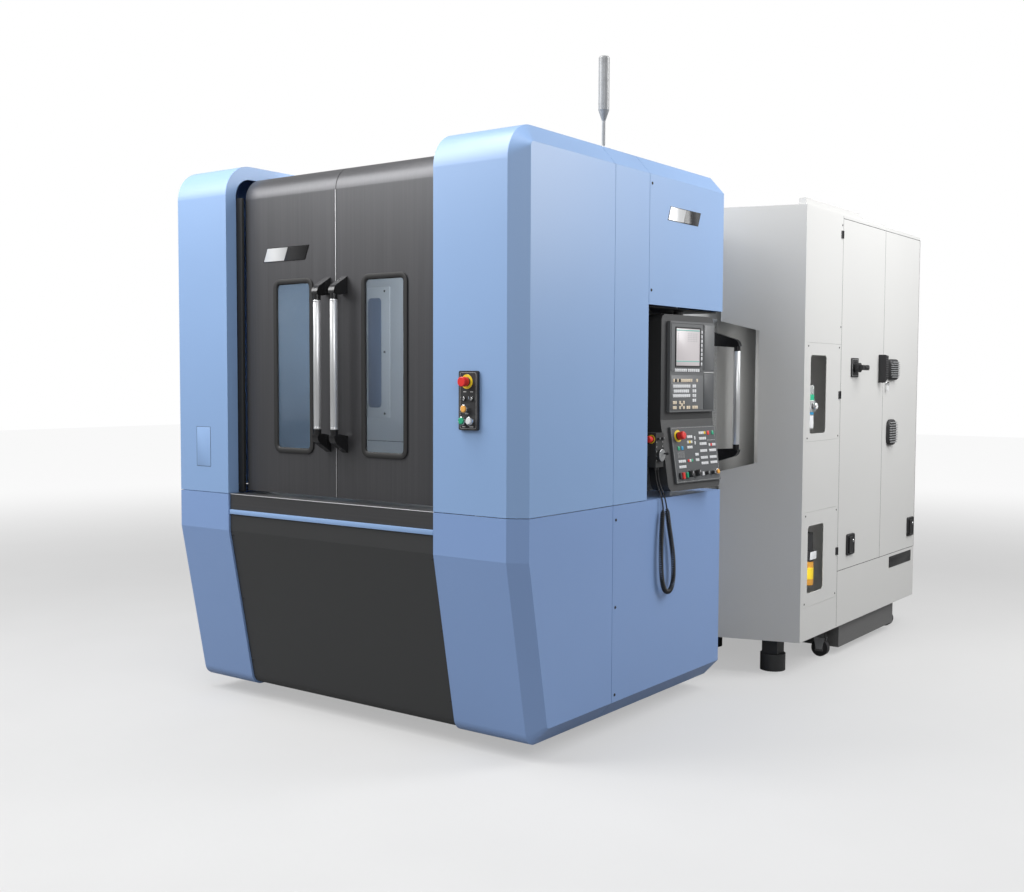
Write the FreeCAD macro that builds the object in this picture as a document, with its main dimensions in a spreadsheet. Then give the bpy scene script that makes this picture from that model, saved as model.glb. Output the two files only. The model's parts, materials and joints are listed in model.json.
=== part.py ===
import FreeCAD, Part
import math
import os
import Sketcher

# Horizontal machining center with a two-pallet changer: a blue-clad front with sliding setup
# doors, a swivelling control panel in an alcove on its right side, and a grey electrical
# cabinet behind it.
# Millimetres. Sizes are taken from the left face (x), the front face of the posts (y) and the
# floor (z). The origin of the finished model is on the floor under the middle of the machine.

doc = FreeCAD.newDocument("MachiningCenter")
sheet = doc.addObject("Spreadsheet::Sheet", "Sizes")


# ---------------------------------------------------------------- sizes and their expressions
class Size:
    """A length that knows both its value and the spreadsheet expression that gives it."""

    def __init__(self, value, text):
        self.value = float(value)
        self.text = text

    def _with(self, other, sign, result):
        return Size(result, f"({self.text} {sign} {size(other).text})")

    def __add__(self, other):
        return self._with(other, "+", self.value + size(other).value)

    def __radd__(self, other):
        return size(other) + self

    def __sub__(self, other):
        return self._with(other, "-", self.value - size(other).value)

    def __rsub__(self, other):
        return size(other) - self

    def __mul__(self, other):
        return self._with(other, "*", self.value * size(other).value)

    def __rmul__(self, other):
        return size(other) * self

    def __truediv__(self, other):
        return self._with(other, "/", self.value / size(other).value)

    def __neg__(self):
        return size(0) - self


def size(value):
    """A plain number as a Size; a Size as it is."""
    return value if isinstance(value, Size) else Size(value, f"{value:.10g}")


def cosine(angle):
    return Size(math.cos(math.radians(angle.value)), f"cos({angle.text})")


def sine(angle):
    return Size(math.sin(math.radians(angle.value)), f"sin({angle.text})")


def tangent(angle):
    return Size(math.tan(math.radians(angle.value)), f"tan({angle.text})")


# ------------------------------------------------------------------------- driving dimensions
DIMENSIONS = {
    "Blue front enclosure": {
        "body_width": 2151,          # left face to the side face on the right
        "body_depth": 1760,          # front of the posts to the rear end of the blue covers
        "body_top": 2670,
        "cover_bottom": 70,
        "cover_sheet": 4,
        "seam": 3,                   # gap between neighbouring cover panels
        "left_post_width": 363,
        "right_post_start": 1682,    # x where the right post begins
        "kink_height": 874,          # below this the front slopes back
        "kink_run": 153,             # how far the slope comes back at the bottom
        "top_bend": 155,             # radius where the front turns into the top
        "bottom_bend": 65,
        "break_height": 1057,        # seam between upper and lower covers, all round
        "strip_width": 79,           # chamfer strip between front and side face, along x
        "strip_front": 52,
        "strip_top": 88,
        "strip_bottom": 84,
        "side_bend": 20,
        "flange": 64,                # inner return of each post beside the doors
        "post_depth": 698,           # front of the posts to the first side seam
        "middle_seam": 1001,         # second side seam and front edge of the control alcove
        "alcove_top": 1978,
        "alcove_back": 1900,
    },
    "Front doors and sill": {
        "door_face": 89,
        "door_depth": 40,
        "door_sheet": 4,
        "door_bottom": 1071,
        "door_top": 2605,
        "door_bend": 110,
        "door_return": 250,          # how far the bent top runs back
        "door_start": 407,
        "door_seam": 1022,           # centre line between the two leaves
        "door_gap": 4,
        "door_end": 1637,
        "window_low": 1292,
        "window_high": 2073,
        "left_window_start": 629,
        "left_window_end": 848,
        "right_window_start": 1208,
        "right_window_end": 1437,
        "window_corner": 22,
        "pane": 6,
        "pane_lap": 14,              # how far the pane laps behind the door skin
        "handle_offset": 54,         # bar centre to the seam between the leaves
        "handle_stand": 71,          # bar centre in front of the door face
        "handle_bar": 35,            # bar diameter
        "handle_low": 1385,
        "handle_high": 1992,
        "handle_arm_rise": 102,      # how much higher the arm meets the door than the bar
        "handle_arm_width": 36,
        "handle_shoulder": 50,       # height of the arm's outer corner past the grip's end
        "handle_bar_end": 22,        # how far the bar runs on into the arm
        "handle_corner": 40,
        "sill_front": 10,
        "sill_low": 980,
        "sill_depth": 280,
        "trim_height": 22,
        "panel_inset": 10,           # dark lower panel behind the posts' front
        "panel_gap": 3,
    },
    "Setup switch box": {
        "switch_box_start": 1833,
        "switch_box_width": 100,
        "switch_box_low": 1413,
        "switch_box_high": 1660,
        "switch_box_depth": 14,
        "estop_head": 40,            # diameters and heights of the mushroom heads
        "estop_height": 30,
        "estop_gap": 10,             # collar height that the head is held off its plate
        "lamp_button": 26,
        "lamp_button_height": 18,
        "button_gap": 6,
        "stem": 14,
        "stem_play": 1,
        "stem_short": 7,             # how far a stem stops short of the cover behind the box
    },
    "Signal lamp": {
        "lamp_x": 2006,
        "lamp_y": 825,
        "lamp_pole": 16,
        "lamp_base": 70,
        "lamp_pole_length": 138,     # from the covers' top to the cone
        "lamp_cone": 50,
        "lamp_lens": 50,
        "lamp_lens_length": 243,
    },
    "Control panel": {
        "panel_x": 2140,             # middle of the upper face
        "panel_y": 1410,
        "panel_swing": 6.5,          # degrees that the panel is turned towards the front
        "panel_width": 447,
        "panel_low": 1085,
        "panel_high": 1943,
        "panel_kink": 1430,
        "panel_lean": 9,             # degrees that the lower face leans outwards
        "panel_thick": 105,
        "panel_corner": 34,
        "panel_wall": 5,
        "display_start": -174,
        "display_end": 207,
        "display_low": 1467,
        "display_high": 1911,
        "display_thick": 18,
        "plate_start": -166,
        "plate_end": 217,
        "plate_top": 37,             # plate's top edge below the kink, along the lean
        "plate_length": 277,
        "plate_thick": 12,
        "knob": 30,
        "knob_height": 24,
        "start_button": 22,
        "pivot_x": 2060,
        "pivot_y": 1455,
        "pivot_post": 50,
        "pivot_plate": 8,
    },
    "Handwheel unit and its cord": {
        "unit_x": 2150,
        "unit_y": 1084,
        "unit_width": 74,
        "unit_thick": 58,
        "unit_low": 1207,
        "unit_high": 1372,
        "bracket_low": 1262,
        "bracket_high": 1318,
        "cord_thick": 7,
        "coil_thick": 25,
    },
    "Operator door": {
        "side_door_face": 1950,
        "side_door_thick": 34,
        "side_door_start": 1585,
        "side_door_width": 520,
        "side_door_low": 1075,
        "side_door_high": 1960,
        "side_handle_x": 2100,
        "side_handle_y": 2045,
        "side_handle_low": 1268,
        "side_handle_high": 1787,
    },
    "Electrical cabinet": {
        "cabinet_side": 2398,
        "cabinet_inner": 1962,
        "cabinet_corner": 2249,      # y of the corner between slanted face and side
        "cabinet_slant": 16.5,       # degrees
        "cabinet_rear": 4138,
        "cabinet_low": 189,
        "cabinet_high": 2568,
        "cabinet_sheet": 4,
        "cabinet_head": 18,          # fixed strip above the doors
        "flange_high": 38,           # upstand along the roof's edge, then its lower length
        "flange_low": 16,
        "flange_width": 40,
        "flange_inset": 12,
        "flange_end": 430,
        "seam_a": 2776,
        "seam_b": 3479,
        "cabinet_sill": 516,
        "notch_end": 2165,
        "notch_depth": 2570,
        "notch_low": 1112,
        "notch_high": 1954,
        "notch_slope": 60,           # how far its top and bottom close in towards the right
        "cabinet_door_thick": 30,
        "service_width": 486,
        "service_start": 2281,
        "upper_service_high": 1830,
        "upper_service_low": 1290,
        "upper_cut_low": 1332,
        "upper_cut_high": 1763,
        "lower_service_high": 900,
        "lower_service_low": 374,
        "lower_cut_low": 448,
        "lower_cut_high": 822,
        "service_cut_start": 2336,
        "service_cut_width": 226,
        "service_corner": 22,
        "air_depth": 60,             # middle of the air unit behind the cabinet's side
        "air_start": 104,            # start of the air unit along the windows
        "oil_depth": 70,
        "oil_start": 112,
        "service_sheet": 3,
        "breaker_y": 2985,
        "breaker_z": 1700,
        "breaker_lever": 80,
        "breaker_stand": 12,
        "breaker_high": 50,
    },
    "Rear enclosure and bed": {
        "wall_left": 60,
        "wall_right": 1886,
        "wall_sheet": 4,
        "rear_wall": 3950,
        "rear_top": 2520,
        "bed_low": 189,
        "bed_narrow": 600,           # widths of the bed under changer, table and column
        "bed_middle": 1044,
        "bed_wide": 1440,
        "bed_front": 420,
        "bed_middle_start": 1400,
        "bed_wide_start": 2560,
        "bed_rear": 3880,
        "pedestal": 240,
        "pedestal_high": 880,
        "bed_high": 640,
        "room_left": 262,
        "room_right": 1782,
        "room_front": 352,
        "room_floor": 860,
        "room_top": 2490,
        "changer_y": 1060,
        "foot_width": 140,
        "foot_high": 95,
        "foot_block": 92,
        "cabinet_foot_x": 2201,
        "cabinet_foot_y": 2343,
    },
    "Machining room": {
        "axis_x": 1022,              # middle plane of pallets, spindle and doors
        "pallet": 400,
        "pallet_high": 1112,
        "pallet_thick": 70,
        "pallet_reach": 500,         # changer axis to the middle of a pallet
        "table_y": 2010,
        "table_width": 330,
        "rail_height": 54,
        "rail_width": 46,
        "rail_clearance": 6,
        "saddle_high": 800,
        "saddle_width": 620,
        "saddle_length": 560,
        "fork_gap": 185,             # changer axis plane to the inside of a fork tine
        "fork_tine": 32,
        "fork_high": 1036,
        "fork_thick": 42,
        "divider_width": 1440,
        "divider_low": 1070,
        "divider_high": 2400,
        "divider_sheet": 8,
        "spindle_z": 1450,
        "spindle_nose": 2460,
        "spindle_wide": 128,
        "head_clearance": 15,        # each side of the head in the column's opening
        "head_height": 420,
        "head_front": 2520,
        "head_length": 560,
        "column_y": 2700,
        "column_width": 820,
        "column_depth": 520,
        "column_high": 2380,
        "column_foot": 180,          # base of the column below its opening
        "column_crown": 180,
        "column_opening": 390,
        "magazine_x": 96,
        "magazine_y": 2880,
        "magazine_z": 1650,
        "magazine_ring": 400,
        "magazine_thick": 60,
        "tool_pocket": 62,
        "tool_length": 110,
        "tool_count": 24,
    },
    "Coolant tank": {
        "tank_start": 1000,
        "tank_end": 2367,
        "tank_front": 2900,
        "tank_length": 940,
        "tank_low": 45,
        "tank_high": 178,
        "tank_sheet": 4,
        "caster": 100,
        "caster_width": 36,
        "caster_x": 2290,
        "caster_front_y": 2817,
        "caster_rear_y": 3923,
    },
}


def fill_sheet():
    """Write every dimension into the spreadsheet and return them by name."""
    named = {}
    row = 1
    for heading, entries in DIMENSIONS.items():
        sheet.set(f"A{row}", heading)
        row += 1
        for alias, value in entries.items():
            sheet.set(f"A{row}", alias.replace("_", " "))
            sheet.set(f"B{row}", str(value))
            sheet.setAlias(f"B{row}", alias)
            named[alias] = Size(value, f"Sizes.{alias}")
            row += 1
    doc.recompute()
    return named


class Named:
    """Gives each dimension as an attribute, such as D.body_width."""

    def __init__(self, entries):
        self.__dict__.update(entries)


D = Named(fill_sheet())
# The machine reaches from its left face to the tip of the breaker handle, and from the
# emergency stop on the setup switch box to the rear of the cabinet.
ORIGIN_X = (D.cabinet_side + D.breaker_stand + D.breaker_high) / 2
ORIGIN_Y = (D.cabinet_rear - D.switch_box_depth - D.estop_gap - D.estop_height) / 2
places = {}                          # where each primitive or body was put, by object name


# ---------------------------------------------------------------------------- building blocks
def bind(obj, prop, value):
    """Set a property from a Size: by expression where it comes from the sheet."""
    value = size(value)
    if "Sizes." in value.text:
        obj.setExpression(prop, value.text)
    else:
        obj.setExpression(prop, None)
        target = obj
        *owners, last = prop.split(".")
        if owners:
            placement = getattr(obj, owners[0])
            setattr(placement.Base, last, value.value)
            setattr(target, owners[0], placement)
        else:
            setattr(target, last, value.value)


def place(obj, x, y, z, rotation=None):
    """Put an object at a point, turned by a FreeCAD rotation if one is given."""
    obj.Placement = FreeCAD.Placement(FreeCAD.Vector(0, 0, 0), rotation or FreeCAD.Rotation())
    places[obj.Name] = (size(x), size(y), size(z))
    for axis, value in zip("xyz", places[obj.Name]):
        bind(obj, f"Placement.Base.{axis}", value)
    return obj


def box(name, start, end):
    """A block between two opposite corners."""
    block = doc.addObject("Part::Box", name)
    lengths = [size(b) - a for a, b in zip(start, end)]
    for prop, length in zip(("Length", "Width", "Height"), lengths):
        bind(block, prop, length)
    return place(block, *start)


TURN_TO = {
    "+x": FreeCAD.Rotation(FreeCAD.Vector(0, 1, 0), 90),
    "-x": FreeCAD.Rotation(FreeCAD.Vector(0, 1, 0), -90),
    "+y": FreeCAD.Rotation(FreeCAD.Vector(1, 0, 0), -90),
    "-y": FreeCAD.Rotation(FreeCAD.Vector(1, 0, 0), 90),
    "+z": FreeCAD.Rotation(),
}


def cylinder(name, foot, axis, diameter, height):
    """A round bar that starts at foot and runs along axis."""
    bar = doc.addObject("Part::Cylinder", name)
    bind(bar, "Radius", size(diameter) / 2)
    bind(bar, "Height", height)
    return place(bar, *foot, rotation=TURN_TO[axis])


def boolean(kind, name, base, tools):
    """base cut or crossed by one tool or by several joined tools."""
    tool = tools[0] if len(tools) == 1 else fuse(name + "_tools", tools)
    result = doc.addObject(kind, name)
    result.Base = base
    result.Tool = tool
    return result


def cut(name, base, *tools):
    return boolean("Part::Cut", name, base, tools)


def common(name, base, *tools):
    return boolean("Part::Common", name, base, tools)


def fuse(name, shapes):
    result = doc.addObject("Part::MultiFuse", name)
    result.Shapes = list(shapes)
    return result


def group(name, shapes):
    """Separate solids that go by one name."""
    result = doc.addObject("Part::Compound", name)
    result.Links = list(shapes)
    return result


def new_body(name):
    return doc.addObject("PartDesign::Body", name)


def plane_of(body, role):
    return [f for f in body.Origin.OriginFeatures if f.Role == role][0]


def new_sketch(body, name, role, offset=0):
    """A sketch on one of the body's own planes, moved along the plane's normal."""
    sketch = body.newObject("Sketcher::SketchObject", name)
    sketch.AttachmentSupport = [(plane_of(body, role), "")]
    sketch.MapMode = "FlatFace"
    offset = size(offset)
    if offset.value or "Sizes." in offset.text:
        sketch.AttachmentOffset = FreeCAD.Placement(FreeCAD.Vector(0, 0, offset.value),
                                                    FreeCAD.Rotation())
        if "Sizes." in offset.text:
            sketch.setExpression("AttachmentOffset.Base.z", offset.text)
    return sketch


def fix_point(sketch, geometry, end, u, v):
    """Hold a point at distances u and v from the sketch's origin."""
    for kind, value in (("DistanceX", size(u)), ("DistanceY", size(v))):
        index = sketch.addConstraint(Sketcher.Constraint(kind, geometry, end, value.value))
        if "Sizes." in value.text:
            sketch.setExpression(f"Constraints[{index}]", value.text)


def rounded_corner(before, corner, after, radius):
    """Tangent points and centre of the arc that rounds a corner."""
    inward = (before - corner).normalize()
    outward = (after - corner).normalize()
    half = inward.getAngle(outward) / 2
    reach = radius / math.tan(half)
    bisector = (inward + outward).normalize()
    centre = corner + bisector * (radius / math.sin(half))
    return corner + inward * reach, corner + outward * reach, centre


def outline(sketch, corners):
    """A closed outline of straight lines; a corner with a third value is rounded by it."""
    points = [FreeCAD.Vector(size(c[0]).value, size(c[1]).value, 0) for c in corners]
    count = len(corners)
    entries, exits, centres = [], [], []
    for i, corner in enumerate(corners):
        if len(corner) == 3:
            before, after = points[i - 1], points[(i + 1) % count]
            arc = rounded_corner(FreeCAD.Vector(before), FreeCAD.Vector(points[i]),
                                 FreeCAD.Vector(after), size(corner[2]).value)
        else:
            arc = (points[i], points[i], None)
        entries.append(arc[0])
        exits.append(arc[1])
        centres.append(arc[2])
    lines = [sketch.addGeometry(Part.LineSegment(exits[i], entries[(i + 1) % count]), False)
             for i in range(count)]
    for i, corner in enumerate(corners):
        incoming, outgoing = lines[i - 1], lines[i]
        if centres[i] is None:
            sketch.addConstraint(Sketcher.Constraint("Coincident", incoming, 2, outgoing, 1))
            fix_point(sketch, outgoing, 1, corner[0], corner[1])
            continue
        centre = centres[i]
        first, last = entries[i] - centre, exits[i] - centre
        turns_left = first.cross(last).z > 0
        start, end = (first, last) if turns_left else (last, first)
        circle = Part.Circle(centre, FreeCAD.Vector(0, 0, 1), size(corner[2]).value)
        angles = [math.atan2(v.y, v.x) for v in (start, end)]
        if angles[1] < angles[0]:
            angles[1] += 2 * math.pi
        arc = sketch.addGeometry(Part.ArcOfCircle(circle, *angles), False)
        arc_in, arc_out = (1, 2) if turns_left else (2, 1)
        sketch.addConstraint(Sketcher.Constraint("Tangent", incoming, 2, arc, arc_in))
        sketch.addConstraint(Sketcher.Constraint("Tangent", arc, arc_out, outgoing, 1))
        index = sketch.addConstraint(Sketcher.Constraint("Radius", arc, size(corner[2]).value))
        if "Sizes." in size(corner[2]).text:
            sketch.setExpression(f"Constraints[{index}]", size(corner[2]).text)
        mark = sketch.addGeometry(Part.Point(points[i]), True)
        fix_point(sketch, mark, 1, corner[0], corner[1])
        sketch.addConstraint(Sketcher.Constraint("PointOnObject", mark, 1, incoming))
        sketch.addConstraint(Sketcher.Constraint("PointOnObject", mark, 1, outgoing))
    return sketch


PLANES = {"x": ("YZ_Plane", 1, False), "y": ("XZ_Plane", -1, True), "z": ("XY_Plane", 1, False)}


def add_pad(body, name, axis, corners, start, length):
    """Pad an outline along an axis; the outline's plane starts at that axis value."""
    role, sign, reverse = PLANES[axis]
    sketch = outline(new_sketch(body, name + "_outline", role, size(start) * sign), corners)
    pad = body.newObject("PartDesign::Pad", name)
    pad.Profile = sketch
    bind(pad, "Length", length)
    pad.Reversed = reverse
    sketch.Visibility = False
    return pad


def prism(name, axis, corners, start, end):
    """A body with one outline carried from start to end along an axis."""
    body = new_body(name)
    add_pad(body, name + "_pad", axis, corners, start, size(end) - start)
    places[body.Name] = (size(0), size(0), size(0))
    return body


def rectangle(u0, v0, u1, v1, corner=None):
    """Corners of a rectangle, rounded if a radius is given."""
    points = [(u0, v0), (u1, v0), (u1, v1), (u0, v1)]
    return points if corner is None else [(u, v, corner) for u, v in points]


def turned(name, profile, foot, axis="+z", rotation=None):
    """A body turned from a profile of (radius, height) corners about its own axis."""
    body = new_body(name)
    sketch = outline(new_sketch(body, name + "_profile", "XZ_Plane"), profile)
    turn = body.newObject("PartDesign::Revolution", name + "_turn")
    turn.Profile = sketch
    turn.ReferenceAxis = (sketch, ["V_Axis"])
    turn.Angle = 360
    sketch.Visibility = False
    return place(body, *foot, rotation=rotation or TURN_TO[axis])


nodes = []


def node(name, obj):
    """Name a finished sub-part and shift it to the machine's own origin."""
    x, y, z = places.get(obj.Name, (size(0), size(0), size(0)))
    for axis, value in (("x", x - ORIGIN_X), ("y", y - ORIGIN_Y), ("z", z)):
        bind(obj, f"Placement.Base.{axis}", value)
    obj.Label = name
    nodes.append(obj)
    return obj


# -------------------------------------------------------------------------- blue front covers
def contour(front, top, bottom, top_bend, bottom_bend, rear):
    """Side view outline of the blue front, each edge brought in by its own amount."""
    slope = D.kink_run / (D.kink_height - D.cover_bottom)
    low = D.cover_bottom + bottom
    return [
        (rear, low),
        (rear, D.body_top - top),
        (front, D.body_top - top, top_bend),
        (front, D.kink_height),
        (size(front) + (D.kink_height - low) * slope, low, bottom_bend),
    ]


def full_contour(inset, rear):
    return contour(inset, inset, inset, D.top_bend - inset, D.bottom_bend - inset, rear)


def right_side_solid(name, start, inset, rear):
    """The right post and side as one solid: straight, then narrowing to the side face."""
    body = new_body(name)
    strip_start = D.body_width - D.strip_width
    add_pad(body, name + "_straight", "x", full_contour(inset, rear), start, strip_start - start)
    wide = outline(new_sketch(body, name + "_wide", "YZ_Plane", strip_start),
                   full_contour(inset, rear))
    narrow = outline(new_sketch(body, name + "_narrow", "YZ_Plane", D.body_width - inset),
                     contour(D.strip_front + inset, D.strip_top + inset, D.strip_bottom + inset,
                             D.side_bend, D.side_bend, rear))
    loft = body.newObject("PartDesign::AdditiveLoft", name + "_strip")
    loft.Profile = wide
    loft.Sections = [narrow]
    loft.Ruled = True
    wide.Visibility = narrow.Visibility = False
    return body


def upper_part(name, x0, y0, x1, y1, low=None):
    """Space above the break line in which one cover lies."""
    bottom = D.break_height + D.seam / 2 if low is None else low
    return box(name, (x0, y0, bottom), (x1, y1, D.body_top + 10))


def lower_part(name, x0, y0, x1, y1):
    return box(name, (x0, y0, 0), (x1, y1, D.break_height - D.seam / 2))


def build_left_covers():
    skin = D.cover_sheet
    rear = D.body_depth
    outer = prism("left_outer", "x", full_contour(0, rear), 0, D.left_post_width)
    inner = prism("left_inner", "x", full_contour(skin, rear - skin), skin,
                  D.left_post_width - skin)
    pocket = prism("left_pocket", "x", full_contour(D.flange, rear - skin),
                   D.left_post_width - skin - 1, D.left_post_width + 1)
    shell = cut("left_shell", outer, inner, pocket)
    width = D.left_post_width
    seam_y = D.post_depth
    node("left_post_cover", common("left_post", shell,
                                   upper_part("left_post_zone", -1, -1, width + 1, seam_y)))
    node("left_skirt", common("left_lower", shell,
                              lower_part("left_skirt_zone", -1, -1, width + 1, seam_y)))
    side_zone = box("left_side_zone", (-1, seam_y + D.seam, 0), (width + 1, rear + 1, D.body_top))
    passage = box("left_passage", (D.wall_left - D.seam, rear - skin - 1, 0),
                  (width + 1, rear + 1, D.rear_top + D.seam))
    node("left_side_cover", cut("left_side_open", common("left_side", shell, side_zone),
                                passage))


def build_right_covers():
    skin = D.cover_sheet
    rear = D.body_depth
    start = D.right_post_start
    outer = right_side_solid("right_outer", start, 0, rear)
    inner = right_side_solid("right_inner", start + skin, skin, rear - skin)
    pocket = prism("right_pocket", "x", full_contour(D.flange, rear - skin), start - 1,
                   start + skin + 1)
    shell = cut("right_shell", outer, inner, pocket)
    edge = D.body_width + 1
    seam_y = D.post_depth
    node("right_post_cover", common("right_post", shell,
                                    upper_part("right_post_zone", start - 1, -1, edge, seam_y)))
    node("right_skirt", common("right_lower", shell,
                               lower_part("right_skirt_zone", start - 1, -1, edge, seam_y)))
    wall = D.alcove_back
    inner_side = start - 1
    node("side_middle_cover", common(
        "side_middle", shell,
        upper_part("side_middle_zone", inner_side, seam_y + D.seam, edge, D.middle_seam)))
    side_rear = common("side_rear", shell,
                       upper_part("side_rear_zone", inner_side, D.middle_seam + D.seam, edge,
                                  rear + 1, D.alcove_top))
    passage = box("right_passage", (start - 1, rear - skin - 1, D.alcove_top - 1),
                  (D.wall_right + D.seam, rear + 1, D.rear_top + D.seam))
    node("side_rear_cover", cut("side_rear_open", side_rear, passage))
    side_low = common("side_low", shell,
                      lower_part("side_low_zone", wall, seam_y + D.seam, edge, rear + 1))
    ledge = common("ledge", outer,
                   box("ledge_zone", (wall, D.middle_seam + D.seam, D.break_height - 8),
                       (edge, rear, D.break_height - D.seam / 2)))
    node("side_lower_cover", fuse("side_low_with_ledge", [side_low, ledge]))


# ------------------------------------------------------------------------- sill and low panel
def build_front_sill():
    left = D.left_post_width + D.panel_gap
    right = D.right_post_start - D.panel_gap
    skin = D.cover_sheet
    block = box("sill_block", (left, D.sill_front, D.sill_low),
                (right, D.sill_front + D.sill_depth, D.break_height))
    hollow = box("sill_hollow", (left + skin, D.sill_front + skin, D.sill_low - 1),
                 (right - skin, D.sill_front + D.sill_depth - skin,
                  D.break_height - skin))
    trim = box("sill_trim", (left, D.panel_inset, D.sill_low - D.trim_height),
               (right, D.panel_inset + 30, D.sill_low))
    node("front_sill", fuse("sill", [cut("sill_shell", block, hollow), trim]))


def build_front_lower_panel():
    left = D.left_post_width + D.panel_gap
    right = D.right_post_start - D.panel_gap
    inset = D.panel_inset
    skin = D.cover_sheet
    rear = D.sill_front + D.sill_depth
    top = D.sill_low - D.trim_height - D.panel_gap
    outer = prism("low_panel_outer", "x", full_contour(inset, rear), left, right)
    inner = prism("low_panel_inner", "x", full_contour(inset + skin, rear + 1),
                  left + skin, right - skin)
    zone = box("low_panel_zone", (left - 1, -1, 0), (right + 1, rear, top))
    node("front_lower_panel", common("low_panel", cut("low_panel_shell", outer, inner), zone))


# ------------------------------------------------------------------------------ sliding doors
def door_profile(inset, rear, low):
    """Side view of a door leaf: upright face bent back over the top."""
    return [
        (D.door_face + inset, low),
        (rear, low),
        (rear, D.door_top - inset),
        (D.door_face + inset, D.door_top - inset, D.door_bend - inset),
    ]


def door_leaf(side, start, end, window_start, window_end):
    skin = D.door_sheet
    rear = D.door_face + D.door_return
    back = D.door_face + D.door_depth
    top_back = D.door_top - D.door_depth
    solid = prism(f"{side}_leaf_solid", "x", [
        (D.door_face, D.door_bottom), (back, D.door_bottom),
        (back, top_back, D.door_bend - D.door_depth), (rear, top_back), (rear, D.door_top),
        (D.door_face, D.door_top, D.door_bend)], start, end)
    hollow = prism(f"{side}_leaf_hollow", "x",
                   door_profile(skin, rear - skin, D.door_bottom + skin),
                   start + skin, end - skin)
    hole = prism(f"{side}_window_hole", "y",
                 rectangle(window_start, D.window_low, window_end, D.window_high,
                           D.window_corner), D.door_face - 1, D.door_face + skin + 1)
    node(f"{side}_door_panel", cut(f"{side}_leaf", solid, hollow, hole))
    lap = D.pane_lap
    pane = prism(f"{side}_pane", "y",
                 rectangle(window_start - lap, D.window_low - lap, window_end + lap,
                           D.window_high + lap, D.window_corner),
                 D.door_face + skin, D.door_face + skin + D.pane)
    node(f"{side}_door_glass", pane)


def arm_profile(tip, root, bar_end, root_end, inward, corner):
    """Side view of a handle arm, from the bar's outer edge (tip) to its root on the door."""
    across = D.handle_bar if root.value > tip.value else -D.handle_bar
    return [(tip, bar_end + inward), (tip, bar_end, corner), (root, root_end),
            (root, root_end + inward * 2.6), (tip + across, bar_end + inward * 1.2)]


def door_handle(side, x):
    low, high, rise = D.handle_low, D.handle_high, D.handle_arm_rise
    width = D.handle_arm_width
    face = D.door_face
    tip = face - D.handle_stand - D.handle_bar / 2
    shoulder, over, corner = D.handle_shoulder, D.handle_bar_end, D.handle_corner
    bar = cylinder(f"{side}_bar", (x, face - D.handle_stand, low - over), "+z", D.handle_bar,
                   high - low + 2 * over)
    arms = [
        prism(f"{side}_upper_arm", "x",
              arm_profile(tip, face, high + shoulder, high + rise, -30, corner),
              x - width / 2, x + width / 2),
        prism(f"{side}_lower_arm", "x",
              arm_profile(tip, face, low - shoulder, low - rise, 30, corner),
              x - width / 2, x + width / 2),
    ]
    node(f"{side}_door_handle", fuse(f"{side}_handle", [bar] + arms))


def build_front_doors():
    half = D.door_gap / 2
    door_leaf("left", D.door_start, D.door_seam - half, D.left_window_start, D.left_window_end)
    door_leaf("right", D.door_seam + half, D.door_end, D.right_window_start, D.right_window_end)
    door_handle("left", D.door_seam - D.handle_offset)
    door_handle("right", D.door_seam + D.handle_offset)


# ------------------------------------------------------------------- buttons and switch boxes
def button_profile(head, height, stem_length, crown):
    """Head of a push button with its stem: (radius, height) corners from the plate up."""
    radius = size(head) / 2
    stem = D.stem / 2
    return [(0, -size(stem_length)), (stem, -size(stem_length)), (stem, 0), (radius, 0),
            (radius, height, crown), (0, height)]


def button(name, head, height, stem_length, foot, axis="+z", rotation=None, crown=3):
    node(name, turned(name + "_shape", button_profile(head, height, stem_length, crown), foot,
                      axis, rotation))


def switch_box_places():
    """Centre (x, z) and head diameter of each control on the setup switch box."""
    left = D.switch_box_start
    top = D.switch_box_high
    return {
        "setup_estop": (left + 44, top - 45, D.estop_head),
        "setup_amber_button": (left + 40, top - 158, D.lamp_button),
        "setup_green_button": (left + 28, top - 208, D.lamp_button),
        "setup_white_button": (left + 68, top - 208, D.lamp_button),
    }


def build_setup_switch_box():
    left, width = D.switch_box_start, D.switch_box_width
    front = -D.switch_box_depth
    plate = prism("switch_box_plate", "y",
                  rectangle(left, D.switch_box_low, left + width, D.switch_box_high, 8),
                  front, 0)
    tools = []
    for name, (x, z, head) in switch_box_places().items():
        is_stop = name == "setup_estop"
        gap = D.estop_gap if is_stop else D.button_gap
        tools.append(cylinder(name + "_hole", (x, front - gap - 1, z), "+y",
                              D.stem + 2 * D.stem_play, D.switch_box_depth + gap))
        height = D.estop_height if is_stop else D.lamp_button_height
        button(name, head, height, D.switch_box_depth + gap - D.stem_short, (x, front - gap, z),
               "-y")
    node("setup_switch_box", cut("switch_box", plate, *tools))


# ------------------------------------------------------------------------------- signal lamp
def build_signal_lamp():
    pole, lens, base = D.lamp_pole / 2, D.lamp_lens / 2, D.lamp_base / 2
    foot = 12
    wide = D.lamp_pole_length + D.lamp_cone
    top = wide + D.lamp_lens_length
    profile = [
        (0, 0), (base, 0), (base, foot), (pole, foot), (pole, D.lamp_pole_length),
        (lens, wide), (lens, top, 10), (0, top),
    ]
    node("signal_lamp", turned("lamp", profile, (D.lamp_x, D.lamp_y, D.body_top)))


# ----------------------------------------------------------------------------- control panel
def panel_point(across, out, up):
    """A point of the swung panel: across its width, out of its upper face, and height."""
    turn_cos, turn_sin = cosine(D.panel_swing), sine(D.panel_swing)
    return (D.panel_x + across * turn_sin + out * turn_cos,
            D.panel_y + across * turn_cos - out * turn_sin, size(up))


def panel_turn():
    """Turns +x to the panel's outward normal, and +y to the direction across it."""
    return FreeCAD.Rotation(FreeCAD.Vector(0, 0, 1), -D.panel_swing.value)


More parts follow.
